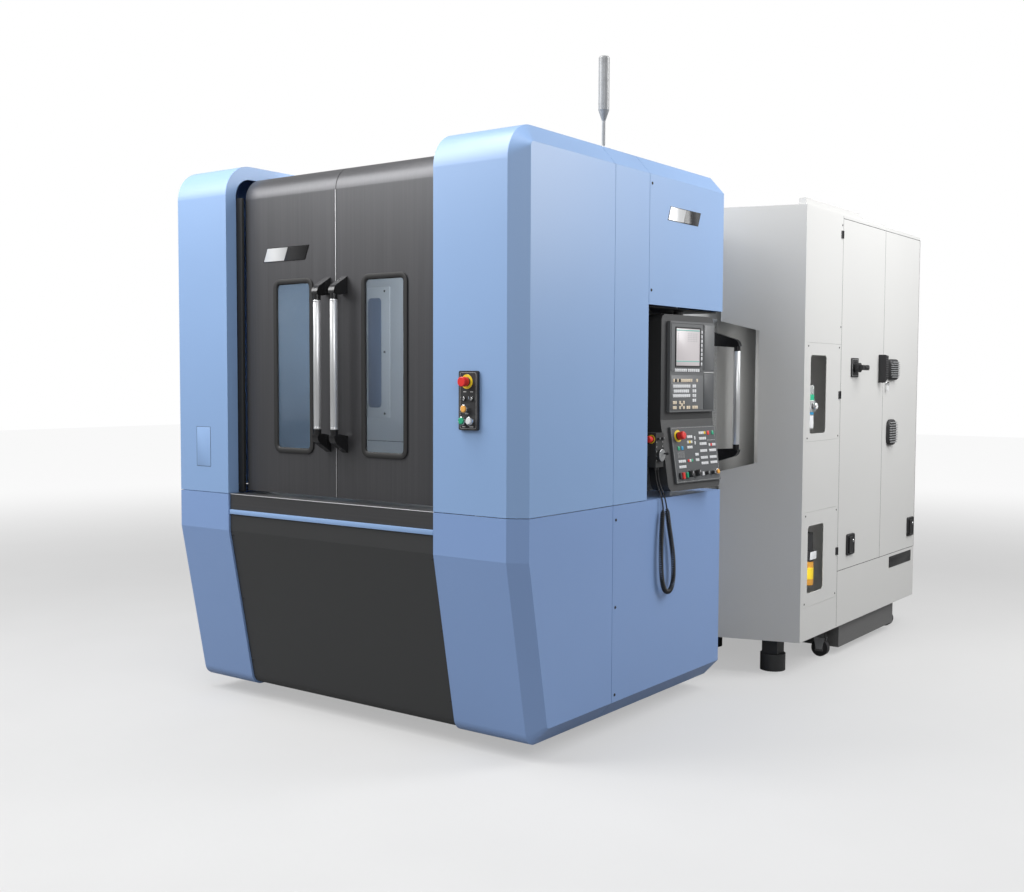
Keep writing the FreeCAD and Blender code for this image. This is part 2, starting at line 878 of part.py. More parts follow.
def plate_turn():
    """As panel_turn, with the lean of the operation plate."""
    lean = FreeCAD.Rotation(FreeCAD.Vector(0, 1, 0), -D.panel_lean.value)
    return panel_turn().multiply(lean)


def plate_point(across, down, out):
    """A point on the operation plate: across, down along its lean, and out of the lean face."""
    lean_cos, lean_sin = cosine(D.panel_lean), sine(D.panel_lean)
    return panel_point(size(across), down * lean_sin + out * lean_cos,
                       D.panel_kink - down * lean_cos + out * lean_sin)


def housing_solid(name, inset, back):
    """Upright above, leaning out below, with rounded corners seen from the front."""
    half = D.panel_width / 2 - inset
    lean = tangent(D.panel_lean)
    low, high = D.panel_low + inset, D.panel_high - inset
    run = (D.panel_kink - low) * lean - inset
    side = prism(name + "_side", "y", [
        (-size(inset), D.panel_kink), (run, low), (run - back, low),
        (-size(back), D.panel_kink), (-size(back), high), (-size(inset), high)], -half, half)
    face = prism(name + "_face", "x", rectangle(-half, low, half, high, D.panel_corner - inset),
                 -size(back) - 1, back)
    return common(name, side, face)


def build_control_housing():
    """A deep tray, open at the back, with the post that it turns on."""
    wall = D.panel_wall
    tray = cut("housing_tray", housing_solid("housing_outer", 0, D.panel_thick),
               housing_solid("housing_inner", wall, D.panel_thick + 30))
    tray.Placement = FreeCAD.Placement(FreeCAD.Vector(0, 0, 0), panel_turn())
    places[tray.Name] = (D.panel_x, D.panel_y, size(0))
    for axis, value in zip("xy", places[tray.Name]):
        bind(tray, f"Placement.Base.{axis}", value)
    column = cylinder("housing_column", (D.pivot_x, D.pivot_y, D.panel_high - wall), "+z",
                      D.pivot_post, D.alcove_top - D.pivot_plate - D.panel_high + wall - 2)
    tools = [plate_hole("stop_hole", *PANEL_STOP)]
    tools += [plate_hole(f"{name}_hole", across, down) for name, across, down, _, _ in KNOBS]
    node("control_housing", cut("housing", fuse("housing_whole", [tray, column]), *tools))


def plate_hole(name, across, down):
    """Clear hole for a stem through plate and housing face, square to the leaning plate."""
    depth = 60
    return turned(name, [(0, -depth), (D.stem / 2 + D.stem_play, -depth),
                         (D.stem / 2 + D.stem_play, 40), (0, 40)],
                  plate_point(across, D.plate_top + down, D.plate_thick),
                  rotation=plate_turn().multiply(TURN_TO["+x"]))


# Place of the emergency stop, across and down the operation plate.
PANEL_STOP = (-112, 46)
# Name, place across and down the operation plate, diameter, height.
KNOBS = [
    ("feed_override_knob", -52, 236, D.knob, D.knob_height),
    ("spindle_override_knob", 10, 234, D.knob, D.knob_height),
    ("cycle_start_button", 186, 236, D.start_button, 12),
]


def build_panel_faces():
    rot = panel_turn()
    start = panel_point(D.display_start, size(0), D.display_low)
    display = box("display_block", (0, 0, 0), (D.display_thick,
                  D.display_end - D.display_start, D.display_high - D.display_low))
    node("display_unit", place(display, *start, rotation=rot))
    corner = plate_point(D.plate_start, D.plate_top + D.plate_length, size(0))
    plate = box("plate_block", (0, 0, 0),
                (D.plate_thick, D.plate_end - D.plate_start, D.plate_length))
    place(plate, *corner, rotation=plate_turn())
    tools = [plate_hole("plate_stop_hole", *PANEL_STOP)]
    tools += [plate_hole(f"{name}_plate_hole", across, down)
              for name, across, down, _, _ in KNOBS]
    node("operation_panel", cut("operation_plate", plate, *tools))
    outward = plate_turn().multiply(TURN_TO["+x"])
    button("panel_estop", D.estop_head, D.estop_height, D.plate_thick + D.estop_gap + 20,
           plate_point(PANEL_STOP[0], D.plate_top + PANEL_STOP[1],
                       D.plate_thick + D.estop_gap), rotation=outward, crown=8)
    for name, across, down, wide, high in KNOBS:
        gap = 4 if name == "cycle_start_button" else 1
        button(name, wide, high, D.plate_thick + gap + 20,
               plate_point(across, D.plate_top + down, D.plate_thick + gap), rotation=outward)


def build_control_alcove():
    """Dark lining of the recess that the control panel stands in, open to side and rear."""
    skin = D.cover_sheet
    front = D.middle_seam + D.seam
    low = D.break_height + D.seam
    inside = D.body_width - D.cover_sheet - 30
    end = D.side_door_start - 25
    back = box("alcove_back_wall", (D.alcove_back - skin, front, low),
               (D.alcove_back, end, D.alcove_top - D.seam))
    cheek = box("alcove_cheek", (D.alcove_back - skin, front, low),
                (inside, front + skin, D.alcove_top - D.seam))
    ceiling = box("alcove_ceiling", (D.alcove_back - skin, front, D.alcove_top - D.pivot_plate),
                  (inside, D.body_depth - 8, D.alcove_top - D.seam))
    node("control_alcove", fuse("alcove", [back, cheek, ceiling]))


# --------------------------------------------------------------- handwheel unit and its cord
def build_handwheel_unit():
    x0 = D.unit_x - D.unit_thick
    y0 = D.unit_y
    y1 = y0 + D.unit_width
    case = box("unit_case", (x0, y0, D.unit_low), (D.unit_x, y1, D.unit_high))
    stop_z = D.unit_high - 30
    stop_x = D.unit_x - 26
    hole = cylinder("unit_hole", (stop_x, y0 - 1, stop_z), "+y", D.stem + 2 * D.stem_play, 31)
    arm = box("unit_arm", (D.unit_x - 46, D.middle_seam + D.seam + D.cover_sheet,
                           D.bracket_low), (D.unit_x - 34, y0, D.bracket_high))
    wheel = cylinder("unit_wheel", (D.unit_x, y0 + D.unit_width / 2, D.unit_low + 58), "+x",
                     60, 14)
    glands = [cylinder(f"unit_gland_{i}", (D.unit_x - 12, y0 + offset, D.unit_low - 12), "+z",
                       12, 13) for i, offset in enumerate((18, 40))]
    node("handwheel_unit", cut("unit", fuse("unit_solid", [case, arm, wheel] + glands), hole))
    button("handwheel_estop", 32, 24, 30, (stop_x, y0 - 8, stop_z), "-y", crown=6)


# The curly cord leaves one gland, runs over the ledge, hangs in a long loop in front of the
# side cover and comes back to the other gland. Points are (x, y, z); the middle ones lie on
# the coiled stretch.
LEAD_OUT = [(2138, 1102, 1195), (2139, 1105, 1150), (2150, 1114, 1102), (2166, 1121, 1058),
            (2171, 1124, 1010)]
COIL = [(2171, 1124, 1010), (2172, 1112, 935), (2173, 1104, 850), (2174, 1103, 772),
        (2174, 1107, 705), (2175, 1116, 654), (2175, 1133, 620), (2175, 1158, 602),
        (2175, 1187, 602), (2175, 1211, 621), (2175, 1223, 655), (2175, 1226, 705),
        (2174, 1221, 770), (2173, 1203, 845), (2172, 1178, 930), (2172, 1156, 1014)]
LEAD_BACK = [(2172, 1156, 1014), (2167, 1147, 1062), (2152, 1137, 1104), (2139, 1128, 1150),
             (2138, 1124, 1195)]


def route_wire(points):
    """Straight runs joined by tangent arcs as large as the runs allow."""
    stops = [FreeCAD.Vector(*p) for p in points]
    edges = []
    last = stops[0]
    for before, here, after in zip(stops, stops[1:], stops[2:]):
        shorter = min((here - before).Length, (after - here).Length)
        turn = (here - before).getAngle(after - here)
        reach = 0.45 * shorter
        radius = reach / math.tan(turn / 2)
        print(f"cord arc: turn {math.degrees(turn):.0f} deg, radius {radius:.0f} mm")
        inward = (before - here).normalize()
        outward = (after - here).normalize()
        first, end = here + inward * reach, here + outward * reach
        bisector = (inward + outward).normalize()
        middle = here + bisector * (radius / math.cos(turn / 2) - radius)
        edges.append(Part.LineSegment(last, first).toShape())
        edges.append(Part.Arc(first, middle, end).toShape())
        last = end
    edges.append(Part.LineSegment(last, stops[-1]).toShape())
    return Part.Wire(edges)


def cord_tube(points, diameter):
    """A round tube along a route, shifted to the machine's origin."""
    wire = route_wire(points)
    start = FreeCAD.Vector(*points[0])
    ahead = FreeCAD.Vector(*points[1]) - start
    ring = Part.Wire(Part.makeCircle(diameter / 2, start, ahead))
    tube = wire.makePipeShell([ring], True, False)
    print(f"cord tube: length {wire.Length:.0f}, volume ratio "
          f"{tube.Volume / (math.pi * diameter ** 2 / 4 * wire.Length):.4f}")
    return tube


def build_cord():
    thin, thick = D.cord_thick.value, D.coil_thick.value
    for name, shape in (
            ("cord_coil", cord_tube(COIL, thick)),
            ("cord_leads", Part.makeCompound([cord_tube(LEAD_OUT, thin),
                                              cord_tube(LEAD_BACK, thin)]))):
        feature = doc.addObject("Part::Feature", name + "_shape")
        feature.Shape = shape
        node(name, feature)


# ----------------------------------------------------------------------------- operator door
def build_operator_door():
    face, thick, skin = D.side_door_face, D.side_door_thick, D.door_sheet
    start = D.side_door_start
    end = start + D.side_door_width
    leaf = box("side_leaf_block", (face - thick, start, D.side_door_low),
               (face, end, D.side_door_high))
    hollow = box("side_leaf_hollow", (face - thick - 1, start + skin, D.side_door_low + skin),
                 (face - skin, end - skin, D.side_door_high - skin))
    node("operator_door_panel", cut("side_leaf", leaf, hollow))
    x, y = D.side_handle_x, D.side_handle_y
    low, high, rise = D.side_handle_low, D.side_handle_high, D.handle_arm_rise
    half = D.handle_arm_width / 2
    tip = x + D.handle_bar / 2
    shoulder, over, corner = D.handle_shoulder, D.handle_bar_end, D.handle_corner
    bar = cylinder("side_bar", (x, y, low - over), "+z", D.handle_bar, high - low + 2 * over)
    arms = [
        prism("side_upper_arm", "y",
              arm_profile(tip, face, high + shoulder, high + rise, -30, corner), y - half, y + half),
        prism("side_lower_arm", "y",
              arm_profile(tip, face, low - shoulder, low - rise, 30, corner), y - half, y + half),
    ]
    node("operator_door_handle", fuse("side_handle", [bar] + arms))


# ------------------------------------------------------------------------- electrical cabinet
def cabinet_footprint(inset):
    """Plan view: the front is slanted, its outer corner nearer the rear than its inner one."""
    slant = tangent(D.cabinet_slant)
    left, right = D.cabinet_inner + inset, D.cabinet_side - inset
    corner = D.cabinet_corner + inset
    return [(left, corner - (right - left) * slant), (right, corner),
            (right, D.cabinet_rear - inset), (left, D.cabinet_rear - inset)]


def notch(name, grow, start):
    """Trapezoid pocket in the slanted face that takes in the operator door's handle."""
    left, right = D.cabinet_inner - 20, D.notch_end + grow
    low, high, slope = D.notch_low - grow, D.notch_high + grow, D.notch_slope
    return prism(name, "y", [(left, low), (right, low + slope), (right, high - slope),
                             (left, high)], start, D.notch_depth + grow)


def service_zone(name, low, high, gap, depth):
    y0 = D.service_start
    return box(name, (D.cabinet_side - depth, y0 - gap, low - gap),
               (D.cabinet_side + 1, y0 + D.service_width + gap, high + gap))


def build_cabinet():
    skin = D.cabinet_sheet
    low, high = D.cabinet_low, D.cabinet_high
    outer = prism("cabinet_outer", "z", cabinet_footprint(0), low, high)
    room = prism("cabinet_room", "z", cabinet_footprint(skin), low + skin, high - skin)
    start = D.cabinet_corner - 200
    cavity = cut("cabinet_cavity", room, notch("notch_lining", skin, start))
    door_zone = box("cabinet_door_zone",
                    (D.cabinet_side - skin - 1, D.seam_a + 1, D.cabinet_sill + 1),
                    (D.cabinet_side + 1, D.cabinet_rear - skin, high - D.cabinet_head))
    edge = D.cabinet_side - D.flange_inset
    flange = box("cabinet_flange", (edge - D.flange_width, D.cabinet_corner + D.flange_inset,
                                    high),
                 (edge, D.seam_b - D.flange_end, high + D.flange_high))
    low_flange = box("cabinet_low_flange", (edge - D.flange_width, D.seam_b - D.flange_end, high),
                     (edge, D.seam_b, high + D.flange_low))
    shell = cut("cabinet_walls", outer, cavity, notch("notch_cut", 0, start), door_zone,
                service_zone("upper_gap", D.upper_service_low, D.upper_service_high, 1, 5),
                service_zone("lower_gap", D.lower_service_low, D.lower_service_high, 1, 5))
    node("cabinet_shell", fuse("cabinet", [shell, flange, low_flange]))


def service_panel(name, low, high, cut_low, cut_high):
    """Flat plate with a rounded window."""
    y0 = D.service_start
    y1 = y0 + D.service_width
    face = D.cabinet_side
    plate = prism(name + "_plate", "x", rectangle(y0, low, y1, high), face - D.service_sheet,
                  face)
    window = prism(name + "_window", "x",
                   rectangle(D.service_cut_start, cut_low,
                             D.service_cut_start + D.service_cut_width, cut_high,
                             D.service_corner), face - 10, face + 10)
    node(name, cut(name + "_cut", plate, window))


def cabinet_door(name, start, end):
    skin, thick = D.cabinet_sheet, D.cabinet_door_thick
    low, high = D.cabinet_sill + D.seam, D.cabinet_high - D.cabinet_head - D.seam
    face = D.cabinet_side
    block = box(name + "_block", (face - thick, start, low), (face, end, high))
    hollow = box(name + "_hollow", (face - thick - 1, start + skin, low + skin),
                 (face - skin, end - skin, high - skin))
    node(name, cut(name + "_tray", block, hollow))


def build_cabinet_fittings():
    service_panel("upper_service_panel", D.upper_service_low, D.upper_service_high,
                  D.upper_cut_low, D.upper_cut_high)
    service_panel("lower_service_panel", D.lower_service_low, D.lower_service_high,
                  D.lower_cut_low, D.lower_cut_high)
    cabinet_door("cabinet_front_door", D.seam_a + D.seam, D.seam_b - D.seam / 2)
    cabinet_door("cabinet_rear_door", D.seam_b + D.seam / 2,
                 D.cabinet_rear - D.cabinet_sheet - D.seam)
    x, y, z = D.cabinet_side + D.breaker_stand, D.breaker_y, D.breaker_z
    boss = cylinder("breaker_boss", (x, y, z), "+x", 56, 26)
    lever = box("breaker_lever", (x + 26, y - 16, z - 15),
                (x + D.breaker_high, y + D.breaker_lever, z + 15))
    node("breaker_handle", fuse("breaker", [boss, lever]))
    build_air_service_unit()
    build_lubrication_unit()


def wall_bracket(name, x, y, z):
    """Bar from the cabinet's slanted wall back to a service unit at y."""
    half = 10
    wall = (D.cabinet_corner + (D.cabinet_side - x + half) * tangent(D.cabinet_slant)
            + D.cabinet_sheet / cosine(D.cabinet_slant) + 0.5)
    return box(name, (x - half, wall, z), (x + half, y + 1, z + 16))


def build_air_service_unit():
    """Filter and regulator one behind the other, with a bowl hanging below each."""
    x, y, z = D.cabinet_side - D.air_depth, D.service_cut_start + D.air_start, D.upper_cut_low
    parts = [box("air_block", (x - 84, y, z + 118), (x + 26, y + 60, z + 178)),
             cylinder("air_dial", (x, y + 30, z + 176), "+z", 44, 84),
             cylinder("air_bowl", (x, y + 30, z + 20), "+z", 46, 100),
             cylinder("air_bowl_rear", (x - 58, y + 30, z + 32), "+z", 42, 88),
             wall_bracket("air_bracket", x, y, z + 140)]
    node("air_service_unit", fuse("air_unit", parts))


def build_lubrication_unit():
    """Small pump on top of a manifold, with its oil bowl below."""
    x, y, z = D.cabinet_side - D.oil_depth, D.service_cut_start + D.oil_start, D.lower_cut_low
    parts = [cylinder("oil_bowl", (x, y + 40, z + 22), "+z", 80, 150),
             box("oil_manifold", (x - 42, y - 4, z + 170), (x + 42, y + 84, z + 218)),
             cylinder("oil_motor", (x, y + 38, z + 216), "+z", 74, 104),
             wall_bracket("oil_bracket", x, y - 4, z + 186)]
    node("lubrication_unit", fuse("oil_unit", parts))


# --------------------------------------------------------------- rear enclosure, room and bed
def build_rear_enclosure():
    skin = D.wall_sheet
    left, right = D.wall_left, D.wall_right
    front = D.changer_y + 12
    outer = box("rear_outer", (left, front, D.bed_low), (right, D.rear_wall, D.rear_top))
    inner = box("rear_inner", (left + skin, front + skin, D.bed_low - 1),
                (right - skin, D.rear_wall - skin, D.rear_top - skin))
    mouth = box("rear_mouth", (D.room_left, front - 1, D.bed_low - 1),
                (D.room_right, front + skin + 1, D.room_top))
    door_hole = box("side_door_hole",
                    (right - skin - 1, D.side_door_start + 25, D.side_door_low + 25),
                    (right + 1, D.side_door_start + D.side_door_width - 25,
                     D.side_door_high - 25))
    roof = box("front_roof",
               (D.left_post_width + D.seam, D.door_face + D.door_return + 6, D.rear_top - 1),
               (D.right_post_start - D.seam, D.body_depth, D.body_top - 30))
    roof_hollow = box("front_roof_hollow",
                      (D.left_post_width + D.seam + skin,
                       D.door_face + D.door_return + 6 + skin, D.rear_top - 2),
                      (D.right_post_start - D.seam - skin, D.body_depth - skin,
                       D.body_top - 30 - skin))
    hub = cylinder("magazine_hub", (left + skin - 1, D.magazine_y, D.magazine_z), "+x", 130,
                   D.magazine_x - left - skin - 3)
    walls = cut("rear_walls", fuse("rear_blocks", [outer, roof]), inner, mouth, door_hole,
                roof_hollow)
    node("rear_enclosure", fuse("rear_shell", [walls, hub]))


def build_room_liner():
    """Floor, two walls and ceiling of the setup room, open to the doors and the changer."""
    skin = D.wall_sheet
    left, right = D.room_left, D.room_right
    front, rear = D.room_front, D.changer_y + 12
    outer = box("liner_outer", (left, front, D.room_floor), (right, rear, D.room_top))
    inner = box("liner_inner", (left + skin, front - 1, D.room_floor + skin),
                (right - skin, rear + 1, D.room_top - skin))
    hole = cylinder("liner_hole", (D.axis_x, D.changer_y, D.room_floor - 1), "+z",
                    D.pedestal + 40, skin + 2)
    node("room_liner", cut("liner", outer, inner, hole))


def build_bed():
    """Cast bed, wider towards the rear, with rails for table and column and a pedestal."""
    axis = D.axis_x
    low, high = D.bed_low, D.bed_high
    stages = [(D.bed_narrow, D.bed_front, D.bed_middle_start),
              (D.bed_middle, D.bed_middle_start, D.bed_wide_start),
              (D.bed_wide, D.bed_wide_start, D.bed_rear)]
    parts = [box(f"bed_stage_{i}", (axis - wide / 2, start, low), (axis + wide / 2, end, high))
             for i, (wide, start, end) in enumerate(stages)]
    rail = D.rail_width / 2
    for i, x in enumerate((axis - D.saddle_width / 3, axis + D.saddle_width / 3)):
        parts.append(box(f"table_rail_{i}", (x - rail, D.bed_middle_start, high),
                         (x + rail, D.bed_wide_start, high + D.rail_height)))
    for i, y in enumerate((D.column_y + 60, D.column_y + D.column_depth - 60)):
        parts.append(box(f"column_rail_{i}", (axis - D.bed_wide / 2, y - rail, high),
                         (axis + D.bed_wide / 2, y + rail, high + D.rail_height)))
    parts.append(cylinder("pedestal", (axis, D.changer_y, high), "+z", D.pedestal,
                          D.pedestal_high - high))
    node("machine_bed", fuse("bed", parts))


def build_levelling_feet():
    axis = D.axis_x
    spots = [(axis - 220, D.bed_front + 120), (axis + 220, D.bed_front + 120),
             (axis - 440, D.bed_middle_start + 220), (axis + 440, D.bed_middle_start + 220),
             (axis - 620, D.bed_wide_start + 120), (axis + 620, D.bed_wide_start + 120),
             (axis - 620, D.bed_rear - 120), (axis - 170, D.bed_rear - 90),
             (D.cabinet_foot_x, D.cabinet_foot_y), (D.cabinet_foot_x, D.cabinet_rear - 80)]
    half = D.foot_block / 2
    feet = []
    for i, (x, y) in enumerate(spots):
        pad = cylinder(f"foot_pad_{i}", (x, y, 0), "+z", D.foot_width, D.foot_high)
        block = box(f"foot_block_{i}", (x - half, y - half, D.foot_high - 1),
                    (x + half, y + half, D.bed_low))
        feet.append(fuse(f"foot_{i}", [pad, block]))
    node("levelling_feet", group("feet", feet))


# ----------------------------------------------------------------------------- machining room
def pallet(name, y, boss_low):
    """Square pallet with cut corners, a centre bore, tapped rows and a round boss below."""
    half, corner, grid = D.pallet / 2, 34, 80
    x = D.axis_x
    low, high = D.pallet_high - D.pallet_thick, D.pallet_high
    plate = prism(name + "_plate", "z", [
        (x - half + corner, y - half), (x + half - corner, y - half),
        (x + half, y - half + corner), (x + half, y + half - corner),
        (x + half - corner, y + half), (x - half + corner, y + half),
        (x - half, y + half - corner), (x - half, y - half + corner)], low, high)
    boss = cylinder(name + "_boss", (x, y, boss_low), "+z", 200, low - boss_low)
    holes = [cylinder(f"{name}_hole_{i}_{j}", (x + grid * i, y + grid * j, high - 30), "+z", 16,
                      31) for i in (-1.5, -0.5, 0.5, 1.5) for j in (-1.5, -0.5, 0.5, 1.5)]
    holes.append(cylinder(name + "_bore", (x, y, high - 20), "+z", 50, 21))
    node(name, cut(name + "_drilled", fuse(name + "_blank", [plate, boss]), *holes))


def build_table():
    x, y = D.axis_x, D.table_y
    low = D.bed_high + D.rail_height + D.rail_clearance
    half = D.saddle_width / 2
    slab = box("saddle_slab", (x - half, y - D.saddle_length / 2, low),
               (x + half, y + D.saddle_length / 2, D.saddle_high))
    ring = cylinder("saddle_ring", (x, y, D.saddle_high - 1), "+z", D.table_width, 41)
    node("table_saddle", fuse("saddle", [slab, ring]))
    base = D.saddle_high + 41
    clamp = D.pallet_high - D.pallet_thick - 20
    table = cylinder("table_drum", (x, y, base), "+z", D.table_width, clamp - base)
    node("rotary_table", group("table", [table]))
    pallet("machine_pallet", y, clamp)


def build_changer():
    """Turning arm with a fork at each end and the dividing wall that turns with it."""
    x, y = D.axis_x, D.changer_y
    reach = D.pallet_reach + D.pallet / 2 - 20
    gap, tine = D.fork_gap, D.fork_tine
    top = D.fork_high
    low = top - D.fork_thick
    parts = [cylinder("changer_hub", (x, y, D.pedestal_high + 4), "+z", D.pedestal - 20,
                      low + 20 - D.pedestal_high),
             box("changer_beam", (x - gap - tine, y - 250, low - 40),
                 (x + gap + tine, y + 250, low + 1))]
    for i, side in enumerate((-1, 1)):
        inner = x + gap * side
        outer = x + (gap + tine) * side
        start, end = (outer, inner) if side < 0 else (inner, outer)
        parts.append(box(f"changer_tine_{i}", (start, y - reach, low), (end, y + reach, top)))
    half = D.divider_width / 2
    thick = D.divider_sheet / 2
    wall = box("divider_wall", (x - half, y - thick, D.divider_low),
               (x + half, y + thick, D.divider_high))
    post = box("divider_post", (x - 60, y - 60, low), (x + 60, y + 60, D.divider_low + 20))
    parts += [wall, post]
    node("pallet_changer", fuse("changer", parts))
    pallet("setup_pallet", y - D.pallet_reach, top - 20)


def build_column():
    x, y = D.axis_x, D.column_y
    low = D.bed_high + D.rail_height + D.rail_clearance
    half, opening = D.column_width / 2, D.column_opening / 2
    block = box("column_block", (x - half, y, low), (x + half, y + D.column_depth,
                                                     D.column_high))
    window = box("column_window", (x - opening, y - 1, low + D.column_foot),
                 (x + opening, y + D.column_depth + 1, D.column_high - D.column_crown))
    node("column", cut("column_frame", block, window))


def build_spindle():
    x, z = D.axis_x, D.spindle_z
    half, tall = D.column_opening / 2 - D.head_clearance, D.head_height / 2
    bore_play = 1
    block = box("head_block", (x - half, D.head_front, z - tall),
                (x + half, D.head_front + D.head_length, z + tall))
    bore = cylinder("head_bore", (x, D.head_front - 1, z), "+y",
                    D.spindle_wide + 2 * bore_play, 300)
    node("spindle_head", cut("head", block, bore))
    length = D.head_front + 290 - D.spindle_nose
    radius = D.spindle_wide / 2
    mouth, root, deep = 22, 14, 70
    profile = [(0, deep), (root, deep), (mouth, 0), (radius - 8, 0), (radius, 8),
               (radius, length), (0, length)]
    node("spindle", turned("spindle_shaft", profile, (x, D.spindle_nose, z), "+y"))


def build_magazine():
    """Tool disc on the left wall, turning about x, with a ring of tool holders."""
    x, y, z = D.magazine_x, D.magazine_y, D.magazine_z
    disc = cylinder("magazine_disc", (x, y, z), "+x", D.magazine_ring * 2 + D.tool_pocket + 20,
                    D.magazine_thick)
    tools = []
    step = size(360) / D.tool_count
    for i in range(int(D.tool_count.value)):
        across = D.magazine_ring * cosine(step * i)
        up = D.magazine_ring * sine(step * i)
        tools.append(cylinder(f"tool_{i}", (x + D.magazine_thick - 1, y + across, z + up), "+x",
                              D.tool_pocket, D.tool_length))
    node("tool_magazine", fuse("magazine", [disc] + tools))


# ------------------------------------------------------------------------------- coolant tank
def build_tank():
    skin = D.tank_sheet
    y0, y1 = D.tank_front, D.tank_front + D.tank_length
    outer = box("tank_outer", (D.tank_start, y0, D.tank_low), (D.tank_end, y1, D.tank_high))
    inner = box("tank_inner", (D.tank_start + skin, y0 + skin, D.tank_low + skin),
                (D.tank_end - skin, y1 - skin, D.tank_high + 1))
    parts = [cut("tank_shell", outer, inner)]
    wide = D.caster_width / 2
    axle_z = D.caster / 2
    play = 2
    ends = {"outer": D.caster_x, "inner": D.tank_start + (D.tank_end - D.caster_x)}
    for name, x in ends.items():
        wheels = []
        for row, (y, wall) in enumerate(((D.caster_front_y, y0), (D.caster_rear_y, y1))):
            for i, sign in enumerate((-1, 1)):
                side = y + (wide + play + 3) * sign
                parts.append(box(f"{name}_fork_{row}_{i}", (x - 24, side - 3, axle_z - 18),
                                 (x + 24, side + 3, D.tank_high - 6)))
            low, high = (y - wide - play - 6, wall + 1) if row == 0 else (
                wall - 1, y + wide + play + 6)
            parts.append(box(f"{name}_fork_top_{row}", (x - 34, low, D.tank_high - 8),
                             (x + 34, high, D.tank_high)))
            wheels.append(cylinder(f"{name}_wheel_{row}", (x, y - wide, axle_z), "+y", D.caster,
                                   D.caster_width))
        node(f"{name}_caster_wheels", group(f"{name}_wheels", wheels))
    node("coolant_tank", fuse("tank", parts))


# ------------------------------------------------------------------------- build, check, write
def check_and_write():
    doc.recompute()
    for obj in doc.Objects:
        if "Invalid" in obj.State or "Error" in obj.State:
            raise RuntimeError(f"{obj.Name} failed: {obj.State}")
    for obj in nodes:
        if obj.Shape.isNull() or not obj.Shape.isValid() or not obj.Shape.Solids:
            raise RuntimeError(f"{obj.Label} has no valid solid")
    os.makedirs("parts", exist_ok=True)
    for obj in nodes:
        obj.Shape.exportStep(f"parts/{obj.Label}.step")
    print(len(nodes), "sub-parts written")


build_left_covers()
build_right_covers()
build_front_sill()
build_front_lower_panel()
build_front_doors()
build_setup_switch_box()
build_signal_lamp()
build_control_housing()
build_panel_faces()
build_control_alcove()
build_handwheel_unit()
build_cord()
build_operator_door()
build_cabinet()
build_cabinet_fittings()
build_rear_enclosure()
build_room_liner()
build_bed()
build_levelling_feet()
build_table()
build_changer()
build_column()
build_spindle()
build_magazine()
build_tank()
check_and_write()
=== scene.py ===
"""Looks of a horizontal machining center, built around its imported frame."""
import json
import math

import bpy
import numpy as np
from mathutils import Matrix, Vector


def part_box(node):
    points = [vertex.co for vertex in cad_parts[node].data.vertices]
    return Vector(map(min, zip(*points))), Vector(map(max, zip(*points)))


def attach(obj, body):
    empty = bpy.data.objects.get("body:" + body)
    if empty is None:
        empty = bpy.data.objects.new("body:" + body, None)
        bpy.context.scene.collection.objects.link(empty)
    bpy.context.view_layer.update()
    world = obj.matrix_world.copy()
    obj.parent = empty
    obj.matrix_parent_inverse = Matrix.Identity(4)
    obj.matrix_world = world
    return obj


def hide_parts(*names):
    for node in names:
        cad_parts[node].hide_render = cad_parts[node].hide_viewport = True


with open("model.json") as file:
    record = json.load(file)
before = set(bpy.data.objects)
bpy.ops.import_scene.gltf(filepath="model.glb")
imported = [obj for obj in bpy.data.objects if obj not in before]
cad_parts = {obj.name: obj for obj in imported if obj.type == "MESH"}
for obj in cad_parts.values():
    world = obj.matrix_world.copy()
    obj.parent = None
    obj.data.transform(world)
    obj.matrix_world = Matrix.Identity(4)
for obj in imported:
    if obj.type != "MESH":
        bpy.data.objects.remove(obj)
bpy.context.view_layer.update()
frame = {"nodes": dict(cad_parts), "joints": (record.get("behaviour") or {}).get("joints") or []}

MM = 0.001
UP = np.array([0.0, 0.0, 1.0])
TO_FRONT = np.array([0.0, -1.0, 0.0])
TO_SIDE = np.array([1.0, 0.0, 0.0])
TO_REAR = np.array([0.0, 1.0, 0.0])
LEFT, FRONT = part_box("left_post_cover")[0][:2]
joints = {joint["name"]: joint for joint in frame["joints"]}


def at(x, y, z):
    """A place from millimetres: x from the left face, y from the covers' front, z up."""
    return np.array([LEFT + x * MM, FRONT + y * MM, z * MM])


def box_mm(node):
    """A node's lowest and highest corners in the millimetres that at() takes."""
    return (np.array(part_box(node), float) - [LEFT, FRONT, 0]) / MM


def low_mm(node):
    return box_mm(node)[0]


def high_mm(node):
    return box_mm(node)[1]


def centre_mm(node):
    return box_mm(node).mean(axis=0)


def axes_matrix(right, upward, back, place):
    """World matrix of an object from its own x, y and z directions and its place."""
    return Matrix([[right[i], upward[i], back[i], place[i]] for i in range(3)]
                  + [[0, 0, 0, 1]])


# ---- camera
CAMERA_PLACE = (3.7534, -5.9429, 1.6302)
CAMERA_YAW = math.radians(36.47)
CAMERA_PITCH = math.radians(-3.24)
CAMERA_ROLL = math.radians(0.22)
CAMERA_LENS = 42.13
SENSOR = 36.0


